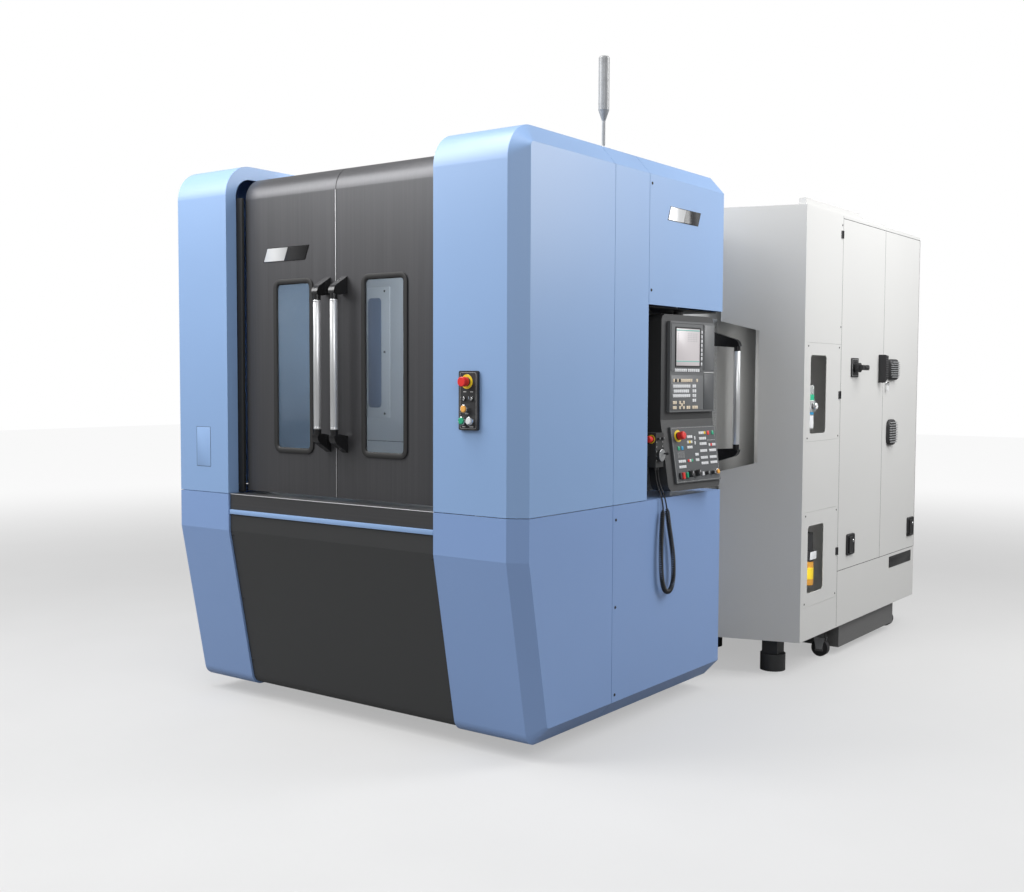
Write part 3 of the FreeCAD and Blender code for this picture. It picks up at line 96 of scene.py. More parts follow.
def build_camera():
    """Level right and up vectors are turned by the roll; the camera looks along minus z."""
    look = np.array([-math.sin(CAMERA_YAW) * math.cos(CAMERA_PITCH),
                     math.cos(CAMERA_YAW) * math.cos(CAMERA_PITCH), math.sin(CAMERA_PITCH)])
    level = np.array([math.cos(CAMERA_YAW), math.sin(CAMERA_YAW), 0.0])
    lift = np.cross(level, look)
    right = level * math.cos(CAMERA_ROLL) + lift * math.sin(CAMERA_ROLL)
    upward = lift * math.cos(CAMERA_ROLL) - level * math.sin(CAMERA_ROLL)
    data = bpy.data.cameras.new("camera")
    data.lens = CAMERA_LENS
    data.sensor_width = SENSOR
    data.clip_end = 100
    camera = bpy.data.objects.new("camera", data)
    bpy.context.scene.collection.objects.link(camera)
    camera.matrix_world = axes_matrix(right, upward, -look, CAMERA_PLACE)
    bpy.context.scene.camera = camera


# ---- shader node groups
def feed(tree, value, socket):
    """Give an input a plain number, or link it to another node's output."""
    if isinstance(value, (int, float)):
        socket.default_value = value
    else:
        tree.links.new(value, socket)


def noise(tree, scale, detail, stretch=None):
    """Noise on Object coordinates, drawn out along an axis where stretch is under 1."""
    place = tree.nodes.new("ShaderNodeTexCoord").outputs["Object"]
    if stretch is not None:
        mapping = tree.nodes.new("ShaderNodeMapping")
        mapping.inputs["Scale"].default_value = stretch
        tree.links.new(place, mapping.inputs["Vector"])
        place = mapping.outputs["Vector"]
    texture = tree.nodes.new("ShaderNodeTexNoise")
    texture.inputs["Detail"].default_value = detail
    tree.links.new(place, texture.inputs["Vector"])
    feed(tree, scale, texture.inputs["Scale"])
    return texture.outputs["Fac"]


def math_node(tree, operation, first, second):
    node = tree.nodes.new("ShaderNodeMath")
    node.operation = operation
    feed(tree, first, node.inputs[0])
    feed(tree, second, node.inputs[1])
    return node.outputs[0]


def bump(tree, height, strength, distance):
    node = tree.nodes.new("ShaderNodeBump")
    node.inputs["Distance"].default_value = distance
    feed(tree, height, node.inputs["Height"])
    feed(tree, strength, node.inputs["Strength"])
    return node.outputs["Normal"]


def around(tree, value, middle, spread):
    """middle plus spread times (value - 0.5)."""
    offset = math_node(tree, "SUBTRACT", value, 0.5)
    return math_node(tree, "ADD", middle, math_node(tree, "MULTIPLY", offset, spread))


def build_skin(name, detail, relief, stretch=None, gloss=None, tone=None):
    """A surface's fine relief, and the drift of its gloss and shade over the sheet.

    One noise makes the relief, in metres of bump, and everything else follows it, unless gloss
    or tone is the (scale, detail) of a noise of its own for the roughness or for the shade.
    """
    tree = bpy.data.node_groups.new(name, "ShaderNodeTree")
    for label in ("Grain", "Depth", "Roughness", "Drift"):
        tree.interface.new_socket(label, in_out="INPUT", socket_type="NodeSocketFloat")
    for label, kind in (("Normal", "NodeSocketVector"), ("Roughness", "NodeSocketFloat"),
                        ("Shade", "NodeSocketFloat")):
        tree.interface.new_socket(label, in_out="OUTPUT", socket_type=kind)
    entry = tree.nodes.new("NodeGroupInput").outputs
    leave = tree.nodes.new("NodeGroupOutput").inputs
    grain = noise(tree, entry["Grain"], detail, stretch)
    drift = noise(tree, *gloss) if gloss else grain
    shade = noise(tree, *tone) if tone else drift
    tree.links.new(bump(tree, grain, entry["Depth"], relief), leave["Normal"])
    tree.links.new(around(tree, drift, entry["Roughness"], entry["Drift"]), leave["Roughness"])
    tree.links.new(shade, leave["Shade"])
    return tree


# Orange peel that drifts slowly, long scratches one way or the other, and a coarse sand skin.
SKINS = {
    "peel": build_skin("powder_coat", 2.0, 0.0006, gloss=(1.7, 4.0)),
    "upright": build_skin("upright_brushing", 3.0, 0.0004, (1.0, 1.0, 0.012)),
    "across": build_skin("cross_brushing", 3.0, 0.0004, (0.012, 1.0, 1.0)),
    "casting": build_skin("casting_skin", 6.0, 0.0015, tone=(3.0, 5.0)),
}


# ---- materials
# Where the mix node keeps its two colours and its result when it mixes colours.
MIX_FIRST, MIX_SECOND, MIX_RESULT = 6, 7, 2


def finish(name, colour, skin, grain, depth, roughness, drift=0.1, shade=0.06, **sockets):
    """A Principled finish whose skin group drives its normal, roughness and a slight shade.

    The colour moves between (1 - shade) and (1 + shade) times itself as the skin's Shade
    goes from 0 to 1. Other inputs, with _ for a space, are set on the shader itself.
    """
    material = bpy.data.materials.new(name)
    material.use_nodes = True
    tree = material.node_tree
    shader = tree.nodes["Principled BSDF"]
    group = tree.nodes.new("ShaderNodeGroup")
    group.node_tree = SKINS[skin]
    for socket, value in zip(group.inputs, (grain, depth, roughness, drift)):
        socket.default_value = value
    mix = tree.nodes.new("ShaderNodeMix")
    mix.data_type = "RGBA"
    low, high = [tuple(min(1.0, c * (1 + sign * shade)) for c in colour) + (1.0,)
                 for sign in (-1, 1)]
    mix.inputs[MIX_FIRST].default_value = low
    mix.inputs[MIX_SECOND].default_value = high
    tree.links.new(group.outputs["Shade"], mix.inputs["Factor"])
    tree.links.new(mix.outputs[MIX_RESULT], shader.inputs["Base Color"])
    tree.links.new(group.outputs["Roughness"], shader.inputs["Roughness"])
    tree.links.new(group.outputs["Normal"], shader.inputs["Normal"])
    for label, value in sockets.items():
        shader.inputs[label.replace("_", " ")].default_value = value
    return material


def blue(name, colour):
    """Powder coat under a thin clear coat."""
    return finish(name, colour, "peel", 700, 0.10, 0.40, 0.08, 0.03, Coat_Weight=0.2,
                  Coat_Roughness=0.28)


BLUE = blue("blue_powder_coat", (0.245, 0.385, 0.64))
# The same powder coat made darker and bluer for the skirts and lower side cover: painted shade for
# the light that falls off towards the floor.
BLUE_PAINTED_SHADE = blue("blue_coat_painted_shade", (0.215, 0.335, 0.60))
DOOR = finish("door_metallic_coat", (0.085, 0.085, 0.09), "upright", 90, 0.05, 0.36, 0.12, 0.14,
              Metallic=0.55)
DARK = finish("dark_powder_coat", (0.032, 0.033, 0.034), "peel", 600, 0.12, 0.5)
SILL = finish("sill_satin_coat", (0.075, 0.075, 0.078), "across", 90, 0.05, 0.36, 0.12, 0.12,
              Metallic=0.5)
CABINET = finish("cabinet_powder_coat", (0.60, 0.60, 0.59), "peel", 550, 0.16, 0.55, 0.1, 0.02)
ROOM = finish("room_white_coat", (0.62, 0.63, 0.64), "peel", 500, 0.1, 0.4, 0.15, 0.04)
PANEL = finish("control_panel_coat", (0.045, 0.046, 0.048), "peel", 420, 0.2, 0.42, 0.1, 0.08)
FASCIA = finish("display_fascia", (0.13, 0.135, 0.14), "peel", 380, 0.15, 0.4, 0.1, 0.05)
TANK = finish("tank_coat", (0.12, 0.12, 0.12), "peel", 500, 0.15, 0.45)
PLATE = finish("key_plate_film", (0.075, 0.08, 0.085), "peel", 300, 0.05, 0.42)
CASTING = finish("machine_casting", (0.14, 0.155, 0.16), "casting", 90, 0.35, 0.55, 0.15, 0.1)
STEEL = finish("ground_steel", (0.56, 0.57, 0.58), "across", 220, 0.12, 0.28, 0.2, 0.08,
               Metallic=1.0)
GRIP = finish("brushed_grip_steel", (0.80, 0.81, 0.82), "upright", 300, 0.08, 0.34, 0.15, 0.05,
              Metallic=0.75)
CHROME = finish("chrome_bezel", (0.78, 0.79, 0.80), "peel", 60, 0.02, 0.10, 0.06, 0.03,
                Metallic=1.0)
ALUMINIUM = finish("cast_aluminium", (0.50, 0.51, 0.52), "casting", 160, 0.2, 0.42, 0.15, 0.08,
                   Metallic=0.8)
GLOSS_BLACK = finish("handle_black_coat", (0.014, 0.014, 0.015), "peel", 320, 0.05, 0.22, 0.08)
BLACK = finish("black_plastic", (0.022, 0.022, 0.024), "peel", 800, 0.2, 0.5)
RUBBER = finish("seal_rubber", (0.012, 0.012, 0.012), "peel", 300, 0.15, 0.6)
CORD = finish("cord_jacket", (0.016, 0.016, 0.017), "peel", 900, 0.15, 0.4, 0.1, 0.1)
RED = finish("red_plastic", (0.72, 0.035, 0.03), "peel", 500, 0.05, 0.28, 0.06, 0.04)
YELLOW = finish("yellow_plastic", (0.83, 0.60, 0.03), "peel", 500, 0.05, 0.36, 0.06, 0.04)
AMBER = finish("amber_lens", (0.86, 0.43, 0.10), "peel", 300, 0.05, 0.22, 0.06, 0.06)
GREEN = finish("green_lens", (0.03, 0.37, 0.20), "peel", 300, 0.05, 0.24, 0.06, 0.06)
CYAN = finish("blue_key", (0.03, 0.30, 0.55), "peel", 300, 0.05, 0.35, 0.06, 0.04)
WHITE = finish("white_plastic", (0.74, 0.75, 0.77), "peel", 500, 0.05, 0.33, 0.06, 0.03)
CREAM = finish("cream_key", (0.72, 0.62, 0.48), "peel", 500, 0.05, 0.4, 0.06, 0.03)
LINE = finish("pale_line_ink", (0.50, 0.50, 0.50), "peel", 500, 0.02, 0.5, 0.06, 0.03)
LAMP = finish("lamp_lens", (0.30, 0.305, 0.31), "across", 30, 0.1, 0.3, 0.1, 0.25)
OIL = finish("oil_bowl", (0.62, 0.30, 0.05), "peel", 200, 0.05, 0.2, 0.06, 0.1)
# Painted shadow for the gaps round plates, between the cabinet's doors and across the divider.
GAP_SHADOW_PAINT = finish("seam_shadow", (0.02, 0.022, 0.025), "peel", 200, 0.05, 0.8)
# A pale sheet: the light half of each blank name plate, and the painted highlights along the
# sill's top edge and down the left door's seam.
PALE_SHEET_AND_HIGHLIGHT = finish("pale_sheet_and_painted_highlight", (0.72, 0.73, 0.74), "peel", 300, 0.03, 0.3, Metallic=0.4)


def glass(name, colour, roughness=0.03, transmission=1.0):
    """Clear sheet with faint smears in its gloss."""
    return finish(name, colour, "peel", 3.0, 0.004, roughness, 0.04, 0.02,
                  Transmission_Weight=transmission, IOR=1.46)


PANE = glass("window_glass", (0.80, 0.87, 0.93))
BOWL = glass("clear_bowl", (0.80, 0.84, 0.82), 0.12, 0.75)
SMOKED = glass("divider_window", (0.20, 0.25, 0.35), 0.1, 0.15)
# A dark blue-grey sheet that paints the shade seen on the setup room's left wall.
WALL_SHADE_PAINT = finish("painted_wall_shade", (0.20, 0.27, 0.36), "peel", 8, 0.01, 0.2, 0.1, 0.25)


def lit(name, colour, strength):
    """A display surface that gives off its own soft light."""
    return finish(name, colour, "peel", 200, 0.01, 0.25, 0.05, 0.03,
                  Emission_Color=(*colour, 1), Emission_Strength=strength)


SCREEN = lit("display_screen", (0.50, 0.47, 0.48), 0.22)
TEAL = lit("display_bar", (0.20, 0.42, 0.38), 0.2)
INK = finish("display_mark", (0.34, 0.34, 0.36), "peel", 200, 0.01, 0.4)

NODE_FINISH = {
    BLUE: ["left_post_cover", "left_side_cover", "right_post_cover", "side_middle_cover",
           "side_rear_cover"],
    # Skirts and lower side cover take the darker copy of the blue, which paints their shade.
    BLUE_PAINTED_SHADE: ["left_skirt", "right_skirt", "side_lower_cover"],
    SILL: ["front_sill"],
    DARK: ["front_lower_panel", "control_alcove", "handwheel_unit", "levelling_feet"],
    TANK: ["coolant_tank"],
    DOOR: ["left_door_panel", "right_door_panel"],
    PANE: ["left_door_glass", "right_door_glass"],
    GLOSS_BLACK: ["left_door_handle", "right_door_handle", "operator_door_handle"],
    CABINET: ["cabinet_shell", "upper_service_panel", "lower_service_panel", "rear_enclosure",
              "cabinet_front_door", "cabinet_rear_door"],
    STEEL: ["operator_door_panel", "spindle", "rotary_table", "tool_magazine"],
    ROOM: ["room_liner", "pallet_changer"],
    CASTING: ["machine_bed", "column", "spindle_head", "table_saddle"],
    ALUMINIUM: ["machine_pallet", "setup_pallet", "air_service_unit"],
    PANEL: ["control_housing"],
    FASCIA: ["display_unit"],
    PLATE: ["operation_panel"],
    RED: ["panel_estop", "handwheel_estop", "setup_estop"],
    AMBER: ["cycle_start_button", "setup_amber_button"],
    GREEN: ["setup_green_button"],
    WHITE: ["setup_white_button"],
    BLACK: ["setup_switch_box", "feed_override_knob", "spindle_override_knob",
            "breaker_handle", "outer_caster_wheels", "inner_caster_wheels",
            "lubrication_unit"],
    LAMP: ["signal_lamp"],
}


def dress_nodes():
    for material, names in NODE_FINISH.items():
        for name in names:
            mesh = frame["nodes"][name].data
            mesh.materials.clear()
            mesh.materials.append(material)


# ---- shapes
def surface(rows, joined=False):
    """Quads between rows of points, each row a loop; ends get a face or join each other."""
    rows = np.asarray(rows, float)
    rings, count, _ = rows.shape
    here = np.arange(count)
    ahead = np.roll(here, -1)
    first = np.arange(rings if joined else rings - 1)[:, None] * count
    second = (first + count) % (rings * count)
    quads = np.stack([first + here, first + ahead, second + ahead, second + here], axis=-1)
    faces = quads.reshape(-1, 4).tolist()
    if not joined:
        faces += [here[::-1].tolist(), ((rings - 1) * count + here).tolist()]
    return rows.reshape(-1, 3), faces


def disc(radius, steps=32):
    """Circle brought in by an inset: points at radius - inset and even angles."""
    angle = np.arange(steps) * 2 * math.pi / steps
    ring = np.column_stack([np.cos(angle), np.sin(angle)])
    return lambda inset: ring * (radius - inset)


def rounded(width, height, corner, steps=6):
    """Rectangle with round corners brought in by an inset: quarter circles at its corners."""
    quarter = np.linspace(0, math.pi / 2, steps)
    angle = np.concatenate([quarter + turn * math.pi / 2 for turn in range(4)])
    side = np.repeat([[1, 1], [-1, 1], [-1, -1], [1, -1]], steps, axis=0)

    def outline(inset):
        radius = max(corner - inset, 0.05)
        middle = np.array([width / 2 - inset - radius, height / 2 - inset - radius])
        return side * middle + radius * np.column_stack([np.cos(angle), np.sin(angle)])
    return outline


def polygon(corners):
    """Any convex outline; an inset draws its corners that far towards the middle."""
    corners = np.asarray(corners, float)
    middle = corners.mean(0)
    reach = np.linalg.norm(corners - middle, axis=1, keepdims=True)
    return lambda inset: middle + (corners - middle) * (1 - inset / reach)


def pressed(outline, profile, joined=False):
    """A profile of (inset, height) steps carried round an outline."""
    rows = [np.column_stack([outline(inset), np.full(len(outline(inset)), height)])
            for inset, height in profile]
    return surface(rows, joined=joined)


def slab(outline, thick, edge=0.6):
    """A plate with a small quarter-round front edge."""
    return pressed(outline, [(0, 0), (0, thick - edge), (edge * 0.3, thick - edge * 0.3),
                             (edge, thick)])


def tile(width, height, corner, thick, edge=0.6):
    """A slab with round corners."""
    return slab(rounded(width, height, corner), thick, edge)


def band(outline, width, thick, edge=0.6):
    """A closed flat ring inside an outline, its front edges eased."""
    return pressed(outline, [(0, 0), (0, thick - edge), (edge, thick), (width - edge, thick),
                             (width, thick - edge), (width, 0)], joined=True)


def turned(profile, steps=32):
    """A profile of (radius, height) turned about the height axis."""
    return pressed(disc(0, steps), [(-radius, height) for radius, height in profile])


def placed(shape, where, out=TO_FRONT, up=UP):
    """Set a shape of (right, up, out) millimetres at a place, facing out.

    Each point becomes the place plus its millimetres times the three unit directions, where
    right is up cross out, and up is squared to out.
    """
    points, faces = shape
    out = np.asarray(out, float) / np.linalg.norm(out)
    right = np.cross(up, out)
    right /= np.linalg.norm(right)
    up = np.cross(out, right)
    return np.asarray(where) + points @ np.array([right, up, out]) * MM, faces


def shifted(shape, right=0.0, up=0.0, out=0.0):
    """Move a shape within its own millimetres, before it is placed."""
    points, faces = shape
    return points + np.array([right, up, out]), faces


SHARP = math.radians(38)


def piece(name, parts, body="machine"):
    """One mesh from placed shapes, each with its own finish, riding on a body."""
    points, faces, marks, finishes = [], [], [], []
    start = 0
    for (shape_points, shape_faces), material in parts:
        if material not in finishes:
            finishes.append(material)
        points.append(shape_points)
        faces += [[start + corner for corner in face] for face in shape_faces]
        marks += [finishes.index(material)] * len(shape_faces)
        start += len(shape_points)
    mesh = bpy.data.meshes.new(name)
    mesh.from_pydata(np.vstack(points).tolist(), [], faces)
    for material in finishes:
        mesh.materials.append(material)
    mesh.polygons.foreach_set("material_index", marks)
    mesh.shade_smooth()
    mesh.set_sharp_from_angle(angle=SHARP)
    mesh.update()
    obj = bpy.data.objects.new(name, mesh)
    bpy.context.scene.collection.objects.link(obj)
    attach(obj, body)
    return obj


# ---- handwheel cord
CORD_THICK = 0.007
COIL_OUTSIDE = 0.025
COIL_TURNS = 100
EASED_TURNS = 3
TURN_POINTS = 12
ROUTE_FINENESS = 24
CORD_FINENESS = 3
LEAD_OUT = [(2138, 1102, 1195), (2139, 1105, 1150), (2150, 1114, 1102), (2166, 1121, 1058)]
COIL_ROUTE = [(2171, 1124, 1010), (2172, 1112, 935), (2173, 1104, 850), (2174, 1103, 772),
              (2174, 1107, 705), (2175, 1116, 654), (2175, 1133, 620), (2175, 1158, 602),
              (2175, 1187, 602), (2175, 1211, 621), (2175, 1223, 655), (2175, 1226, 705),
              (2174, 1221, 770), (2173, 1203, 845), (2172, 1178, 930), (2172, 1156, 1014)]
LEAD_BACK = [(2167, 1147, 1062), (2152, 1137, 1104), (2139, 1128, 1150), (2138, 1124, 1195)]


def spline_curve(name, points, resolution, bevel=0.0):
    """A curve of one open NURBS spline of order 3 through its end points."""
    curve = bpy.data.curves.new(name, "CURVE")
    curve.dimensions = "3D"
    spline = curve.splines.new("NURBS")
    spline.points.add(len(points) - 1)
    spline.points.foreach_set("co", np.column_stack([points, np.ones(len(points))]).ravel())
    spline.points.foreach_set("radius", np.full(len(points), bevel))
    spline.order_u = 3
    spline.use_endpoint_u = True
    spline.resolution_u = resolution
    curve.bevel_depth = 1.0 if bevel else 0.0
    curve.bevel_resolution = 2
    obj = bpy.data.objects.new(name, curve)
    bpy.context.scene.collection.objects.link(obj)
    return obj


def line_points(obj):
    """Points along a curve's own line, read from its mesh while it has no bevel."""
    depth = obj.data.bevel_depth
    obj.data.bevel_depth = 0
    mesh = bpy.data.meshes.new_from_object(obj)
    obj.data.bevel_depth = depth
    points = np.empty(3 * len(mesh.vertices), np.float32)
    mesh.vertices.foreach_get("co", points)
    bpy.data.meshes.remove(mesh)
    return points.reshape(-1, 3).astype(float)


def run_length(points):
    """How far along the line each point lies."""
    return np.concatenate([[0], np.cumsum(np.linalg.norm(np.diff(points, axis=0), axis=1))])


def build_cord():
    """The coil is a helix round its route.

    At angle t its offset is r cos t along n and r sin t along b, where n and b stand square
    to the route and r grows from nothing over the first turns and shrinks over the last.
    """
    route = np.array([at(*point) for point in COIL_ROUTE])
    guide = spline_curve("coil_route", route, ROUTE_FINENESS)
    middle = line_points(guide)
    curve = guide.data
    bpy.data.objects.remove(guide)
    bpy.data.curves.remove(curve)
    along = run_length(middle)
    share = np.linspace(0, 1, COIL_TURNS * TURN_POINTS + 1)
    centre = np.column_stack([np.interp(share * along[-1], along, middle[:, axis])
                              for axis in range(3)])
    tangent = np.gradient(centre, axis=0)
    tangent /= np.linalg.norm(tangent, axis=1, keepdims=True)
    side = TO_SIDE - tangent * (tangent @ TO_SIDE)[:, None]
    side /= np.linalg.norm(side, axis=1, keepdims=True)
    cross = np.cross(tangent, side)
    ends = np.clip(np.minimum(share, 1 - share) * COIL_TURNS / EASED_TURNS, 0, 1)
    radius = (COIL_OUTSIDE - CORD_THICK) / 2 * ends * ends * (3 - 2 * ends)
    angle = share * COIL_TURNS * 2 * math.pi
    helix = centre + (side * np.cos(angle)[:, None] + cross * np.sin(angle)[:, None]) \
        * radius[:, None]
    points = np.vstack([[at(*p) for p in LEAD_OUT], helix, [at(*p) for p in LEAD_BACK]])
    cord = spline_curve("handwheel_cord", points, CORD_FINENESS, CORD_THICK / 2)
    cord.data.materials.append(CORD)
    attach(cord, "machine")
    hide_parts("cord_coil", "cord_leads")
    length = run_length(line_points(cord))[-1]


# ---- fittings
def button_head_screw(size=1.0):
    """Low domed head with a sunk socket."""
    return turned([(7 * size, -0.5), (7 * size, 0.8), (5.6 * size, 2.4 * size),
                   (3.0 * size, 2.7 * size), (2.7 * size, 0.9), (0.2, 0.9)], 16)


class Fittings:
    """Shapes with their finishes, set in place facing one way, that make one piece."""

    def __init__(self, out=TO_FRONT, up=UP):
        self.out = out
        self.up = up
        self.parts = []

    def add(self, where, *shapes, out=None, up=None):
        """Set (shape, finish) pairs at a place."""
        out = self.out if out is None else out
        up = self.up if up is None else up
        for shape, material in shapes:
            self.parts.append((placed(shape, where, out, up), material))

    def make(self, name, body="machine"):
        piece(name, self.parts, body)


def side_piece(name, where, body, *shapes):
    """A piece of its own on a face that looks to the operator's side."""
    fitting = Fittings(TO_SIDE)
    fitting.add(at(*where), *shapes)
    fitting.make(name, body)


def build_lamp_foot():
    """Flared collar where the signal lamp's pole meets the roof."""
    x, y, _ = centre_mm("signal_lamp")
    profile = [(21, 0), (22, 1.5), (20, 6), (12, 15), (9, 24), (8, 26), (6, 26)]
    foot = Fittings(UP, TO_REAR)
    foot.add(at(x, y, low_mm("signal_lamp")[2]), (turned(profile, 32), ALUMINIUM))
    foot.make("lamp_foot")


def build_cover_screws():
    """Screws on the side covers, and on the lower panel's leaning front."""
    side = high_mm("side_middle_cover")[0]
    screws = Fittings(TO_SIDE)
    for y, z in ((726, 990), (726, 590), (726, 187), (1024, 2540), (1024, 2045)):
        screws.add(at(side, y, z), (button_head_screw(), BLACK))
    slope = math.atan2(153, 804)
    lean = np.array([0, -math.cos(slope), -math.sin(slope)])
    kink, inset = 874, 10
    for z in (851, 529, 206):
        back = inset + (kink - z) * math.tan(slope)
        for x in (378, 1667):
            screws.add(at(x, back, z), (button_head_screw(0.9), BLACK), out=lean)
    screws.make("cover_screws")


def build_post_plate():
    """Blank access plate on the left post, with its shadow gap."""
    plate = Fittings()
    plate.add(at(180.5, 0, 1283.5), (band(rounded(107, 199, 5), 1.6, 0.5, 0.1), GAP_SHADOW_PAINT),
              (tile(103, 195, 4, 0.9, 0.5), BLUE))
    plate.make("post_access_plate")


def strip(low, high):
    """A thin bar between two corners in at()'s millimetres, its edges eased."""
    low, high = np.asarray(low, float), np.asarray(high, float)
    width, deep, tall = high - low
    where = at((low[0] + high[0]) / 2, high[1], (low[2] + high[2]) / 2)
    return placed(slab(rounded(width, tall, min(width, tall) * 0.2, 3), deep, 0.5), where)


def build_front_strips():
    """Blue lip of the sill with a painted highlight along its top edge, the dark seals beside the
    doors, and a painted highlight down the left door's seam.
    """
    low, high = box_mm("front_sill")
    lip = strip((low[0] + 1, low[1] - 7, low[2] - 1), (high[0] - 1, low[1] + 1, low[2] + 21))
    # A pale strip along the sill's top front edge is a painted highlight.
    edge = strip((low[0] + 1, low[1] - 0.8, high[2] - 3), (high[0] - 1, low[1] + 1, high[2]))
    piece("sill_lip_and_highlight", [(lip, BLUE), (edge, PALE_SHEET_AND_HIGHLIGHT)], "machine")
    face = low_mm("left_door_panel")[1]
    start, end = high_mm("left_post_cover")[0], low_mm("right_post_cover")[0]
    seals = [(strip((x, face - 23, 1062), (x + 42, face - 10, 2505)), RUBBER)
             for x in (start - 2, end - 40)]
    piece("door_side_seals", seals)
    seam = high_mm("left_door_panel")[0]
    # A pale strip down the left door's seam is a painted highlight.
    seam_highlight = strip((seam - 2.2, face - 0.7, 1073), (seam, face + 2, 2494))
    piece("door_seam_painted_highlight", [(seam_highlight, PALE_SHEET_AND_HIGHLIGHT)], "left_front_door")


def build_cabinet_seams():
    """Dark strips of painted shadow that fill the gaps round the cabinet's doors."""
    side, _, door_top = high_mm("cabinet_front_door")
    top = door_top + 1
    sunk = side - 4.7
    # Each strip fills a gap flush with the doors and paints its shadow.
    seams = Fittings(TO_SIDE)
    for y, low, high in ((2777.5, 195, 2562), (3479, 519, top - 2), (4136, 519, top - 2)):
        seams.add(at(sunk, y, (low + high) / 2),
                  (slab(rounded(3.0, high - low, 0.5, 3), 5, 0.3), GAP_SHADOW_PAINT))
    for z in (517, top):
        seams.add(at(sunk, 3456, z), (slab(rounded(1356, 2.4, 0.5, 3), 5, 0.3), GAP_SHADOW_PAINT))
    seams.make("cabinet_gap_shadows")


DOORS = {
    "left": ((629, 848), "left_front_door"),
    "right": ((1208, 1437), "right_front_door"),
}
WINDOW_LOW, WINDOW_HIGH = 1292, 2073
SEAL_WIDTH, SEAL_PROUD = 25, 7


def build_door_seals():
    """Black rubber frame round each window, standing out of the door skin."""
    face = low_mm("left_door_panel")[1]
    for side, ((start, end), body) in DOORS.items():
        outline = rounded(end - start + 2 * SEAL_WIDTH, WINDOW_HIGH - WINDOW_LOW
                          + 2 * SEAL_WIDTH, 42)
        seal = pressed(outline, [(0, -1), (0, SEAL_PROUD - 3), (1, SEAL_PROUD - 1),
                                 (3.5, SEAL_PROUD), (SEAL_WIDTH - 4, SEAL_PROUD),
                                 (SEAL_WIDTH - 1, SEAL_PROUD - 2), (SEAL_WIDTH, SEAL_PROUD - 4),
                                 (SEAL_WIDTH + 1.5, 0), (SEAL_WIDTH + 1.5, -1)], joined=True)
        middle = at((start + end) / 2, face, (WINDOW_LOW + WINDOW_HIGH) / 2)
        piece(f"{side}_window_seal", [(placed(seal, middle), RUBBER)], body)


BAR = 35
GRIP_LOW, GRIP_HIGH = 1392, 1985
SIDE_GRIP_LOW, SIDE_GRIP_HIGH = 1276, 1780
GROOVE = [(0, 9), (0.35, 9.6), (0.35, 10.6), (0, 11.2)]


def grip(x, y, low, high, groove=()):
    """Steel sleeve round a bar between two heights, with the same steps from either end."""
    radius = BAR / 2 + 0.5
    half = [(radius - 0.6, 0), (radius, 0.8)] + [(radius - deep, up) for deep, up in groove]
    profile = half + [(across, high - low - up) for across, up in reversed(half)]
    return [(placed(turned(profile, 40), at(x, y, low), UP, TO_REAR), GRIP)]


def build_grips():
    """Sleeves of the three door handles; the setup doors' have a fine groove near each end."""
    for side, (_, body) in DOORS.items():
        handle = f"{side}_door_handle"
        piece(f"{side}_handle_grip",
              grip(centre_mm(handle)[0], low_mm(handle)[1] + BAR / 2, GRIP_LOW, GRIP_HIGH, GROOVE),
              body)
    handle = "operator_door_handle"
    piece("operator_handle_grip",
          grip(high_mm(handle)[0] - BAR / 2, centre_mm(handle)[1], SIDE_GRIP_LOW, SIDE_GRIP_HIGH),
          "operator_door")


# ---- setup switch box
def stop_dressing():
    """Yellow field ring and black collar under a mushroom head."""
    collar = pressed(disc(19, 40), [(0, 1), (0, 3.6), (1, 4.4), (9, 4.4), (10, 3.6), (10, 1)],
                     joined=True)
    return (band(disc(30, 48), 12, 1.6), YELLOW), (collar, BLACK)


def lock_switch():
    """Key switch: black ring, steel cylinder and a key standing in it."""
    barrel = turned([(7.4, 0), (7.4, 5), (6.6, 5.8), (0.3, 5.8)], 24)
    blade = shifted(tile(2.2, 11, 1, 16), 0, 2, 5)
    return (band(disc(10.5, 28), 3, 4), BLACK), (barrel, CHROME), (blade, CHROME)


def bezel(inner=14.6, outer=17.4, height=19):
    """Chrome barrel round a lamp button, with a rolled lip."""
    wall = outer - inner
    ring = pressed(disc(outer, 40), [(0, 0), (0, height - 1.6), (0.5, height - 0.4),
                                     (1.3, height), (wall, height - 1.2), (wall, 0)],
                   joined=True)
    return ring, CHROME


def build_switch_box():
    """Rings, collars, key switches, border and label lines on the setup side's box."""
    low, high = box_mm("setup_switch_box")
    width, front, height = high[0] - low[0], low[1], high[2] - low[2]
    box = Fittings()
    x, _, z = centre_mm("setup_estop")
    box.add(at(x, front, z), *stop_dressing())
    for name in ("amber", "green", "white"):
        x, _, z = centre_mm(f"setup_{name}_button")
        box.add(at(x, front, z), bezel())
    for x in (1861, 1901):
        box.add(at(x, front, 1545), *lock_switch())
    x, _, z = centre_mm("setup_switch_box")
    box.add(at(x, front, z), (band(rounded(width - 14, height - 14, 9), 1.1, 0.35, 0.1), LINE))
    for x, z, wide in ((1866, 1573, 15), (1902, 1573, 15), (1878, 1596, 46), (1875, 1482, 18),
                       (1861, 1428, 16), (1901, 1428, 20)):
        box.add(at(x, front, z), (tile(wide, 3.4, 1, 0.35, 0.1), LINE))
    box.make("setup_switch_fittings")


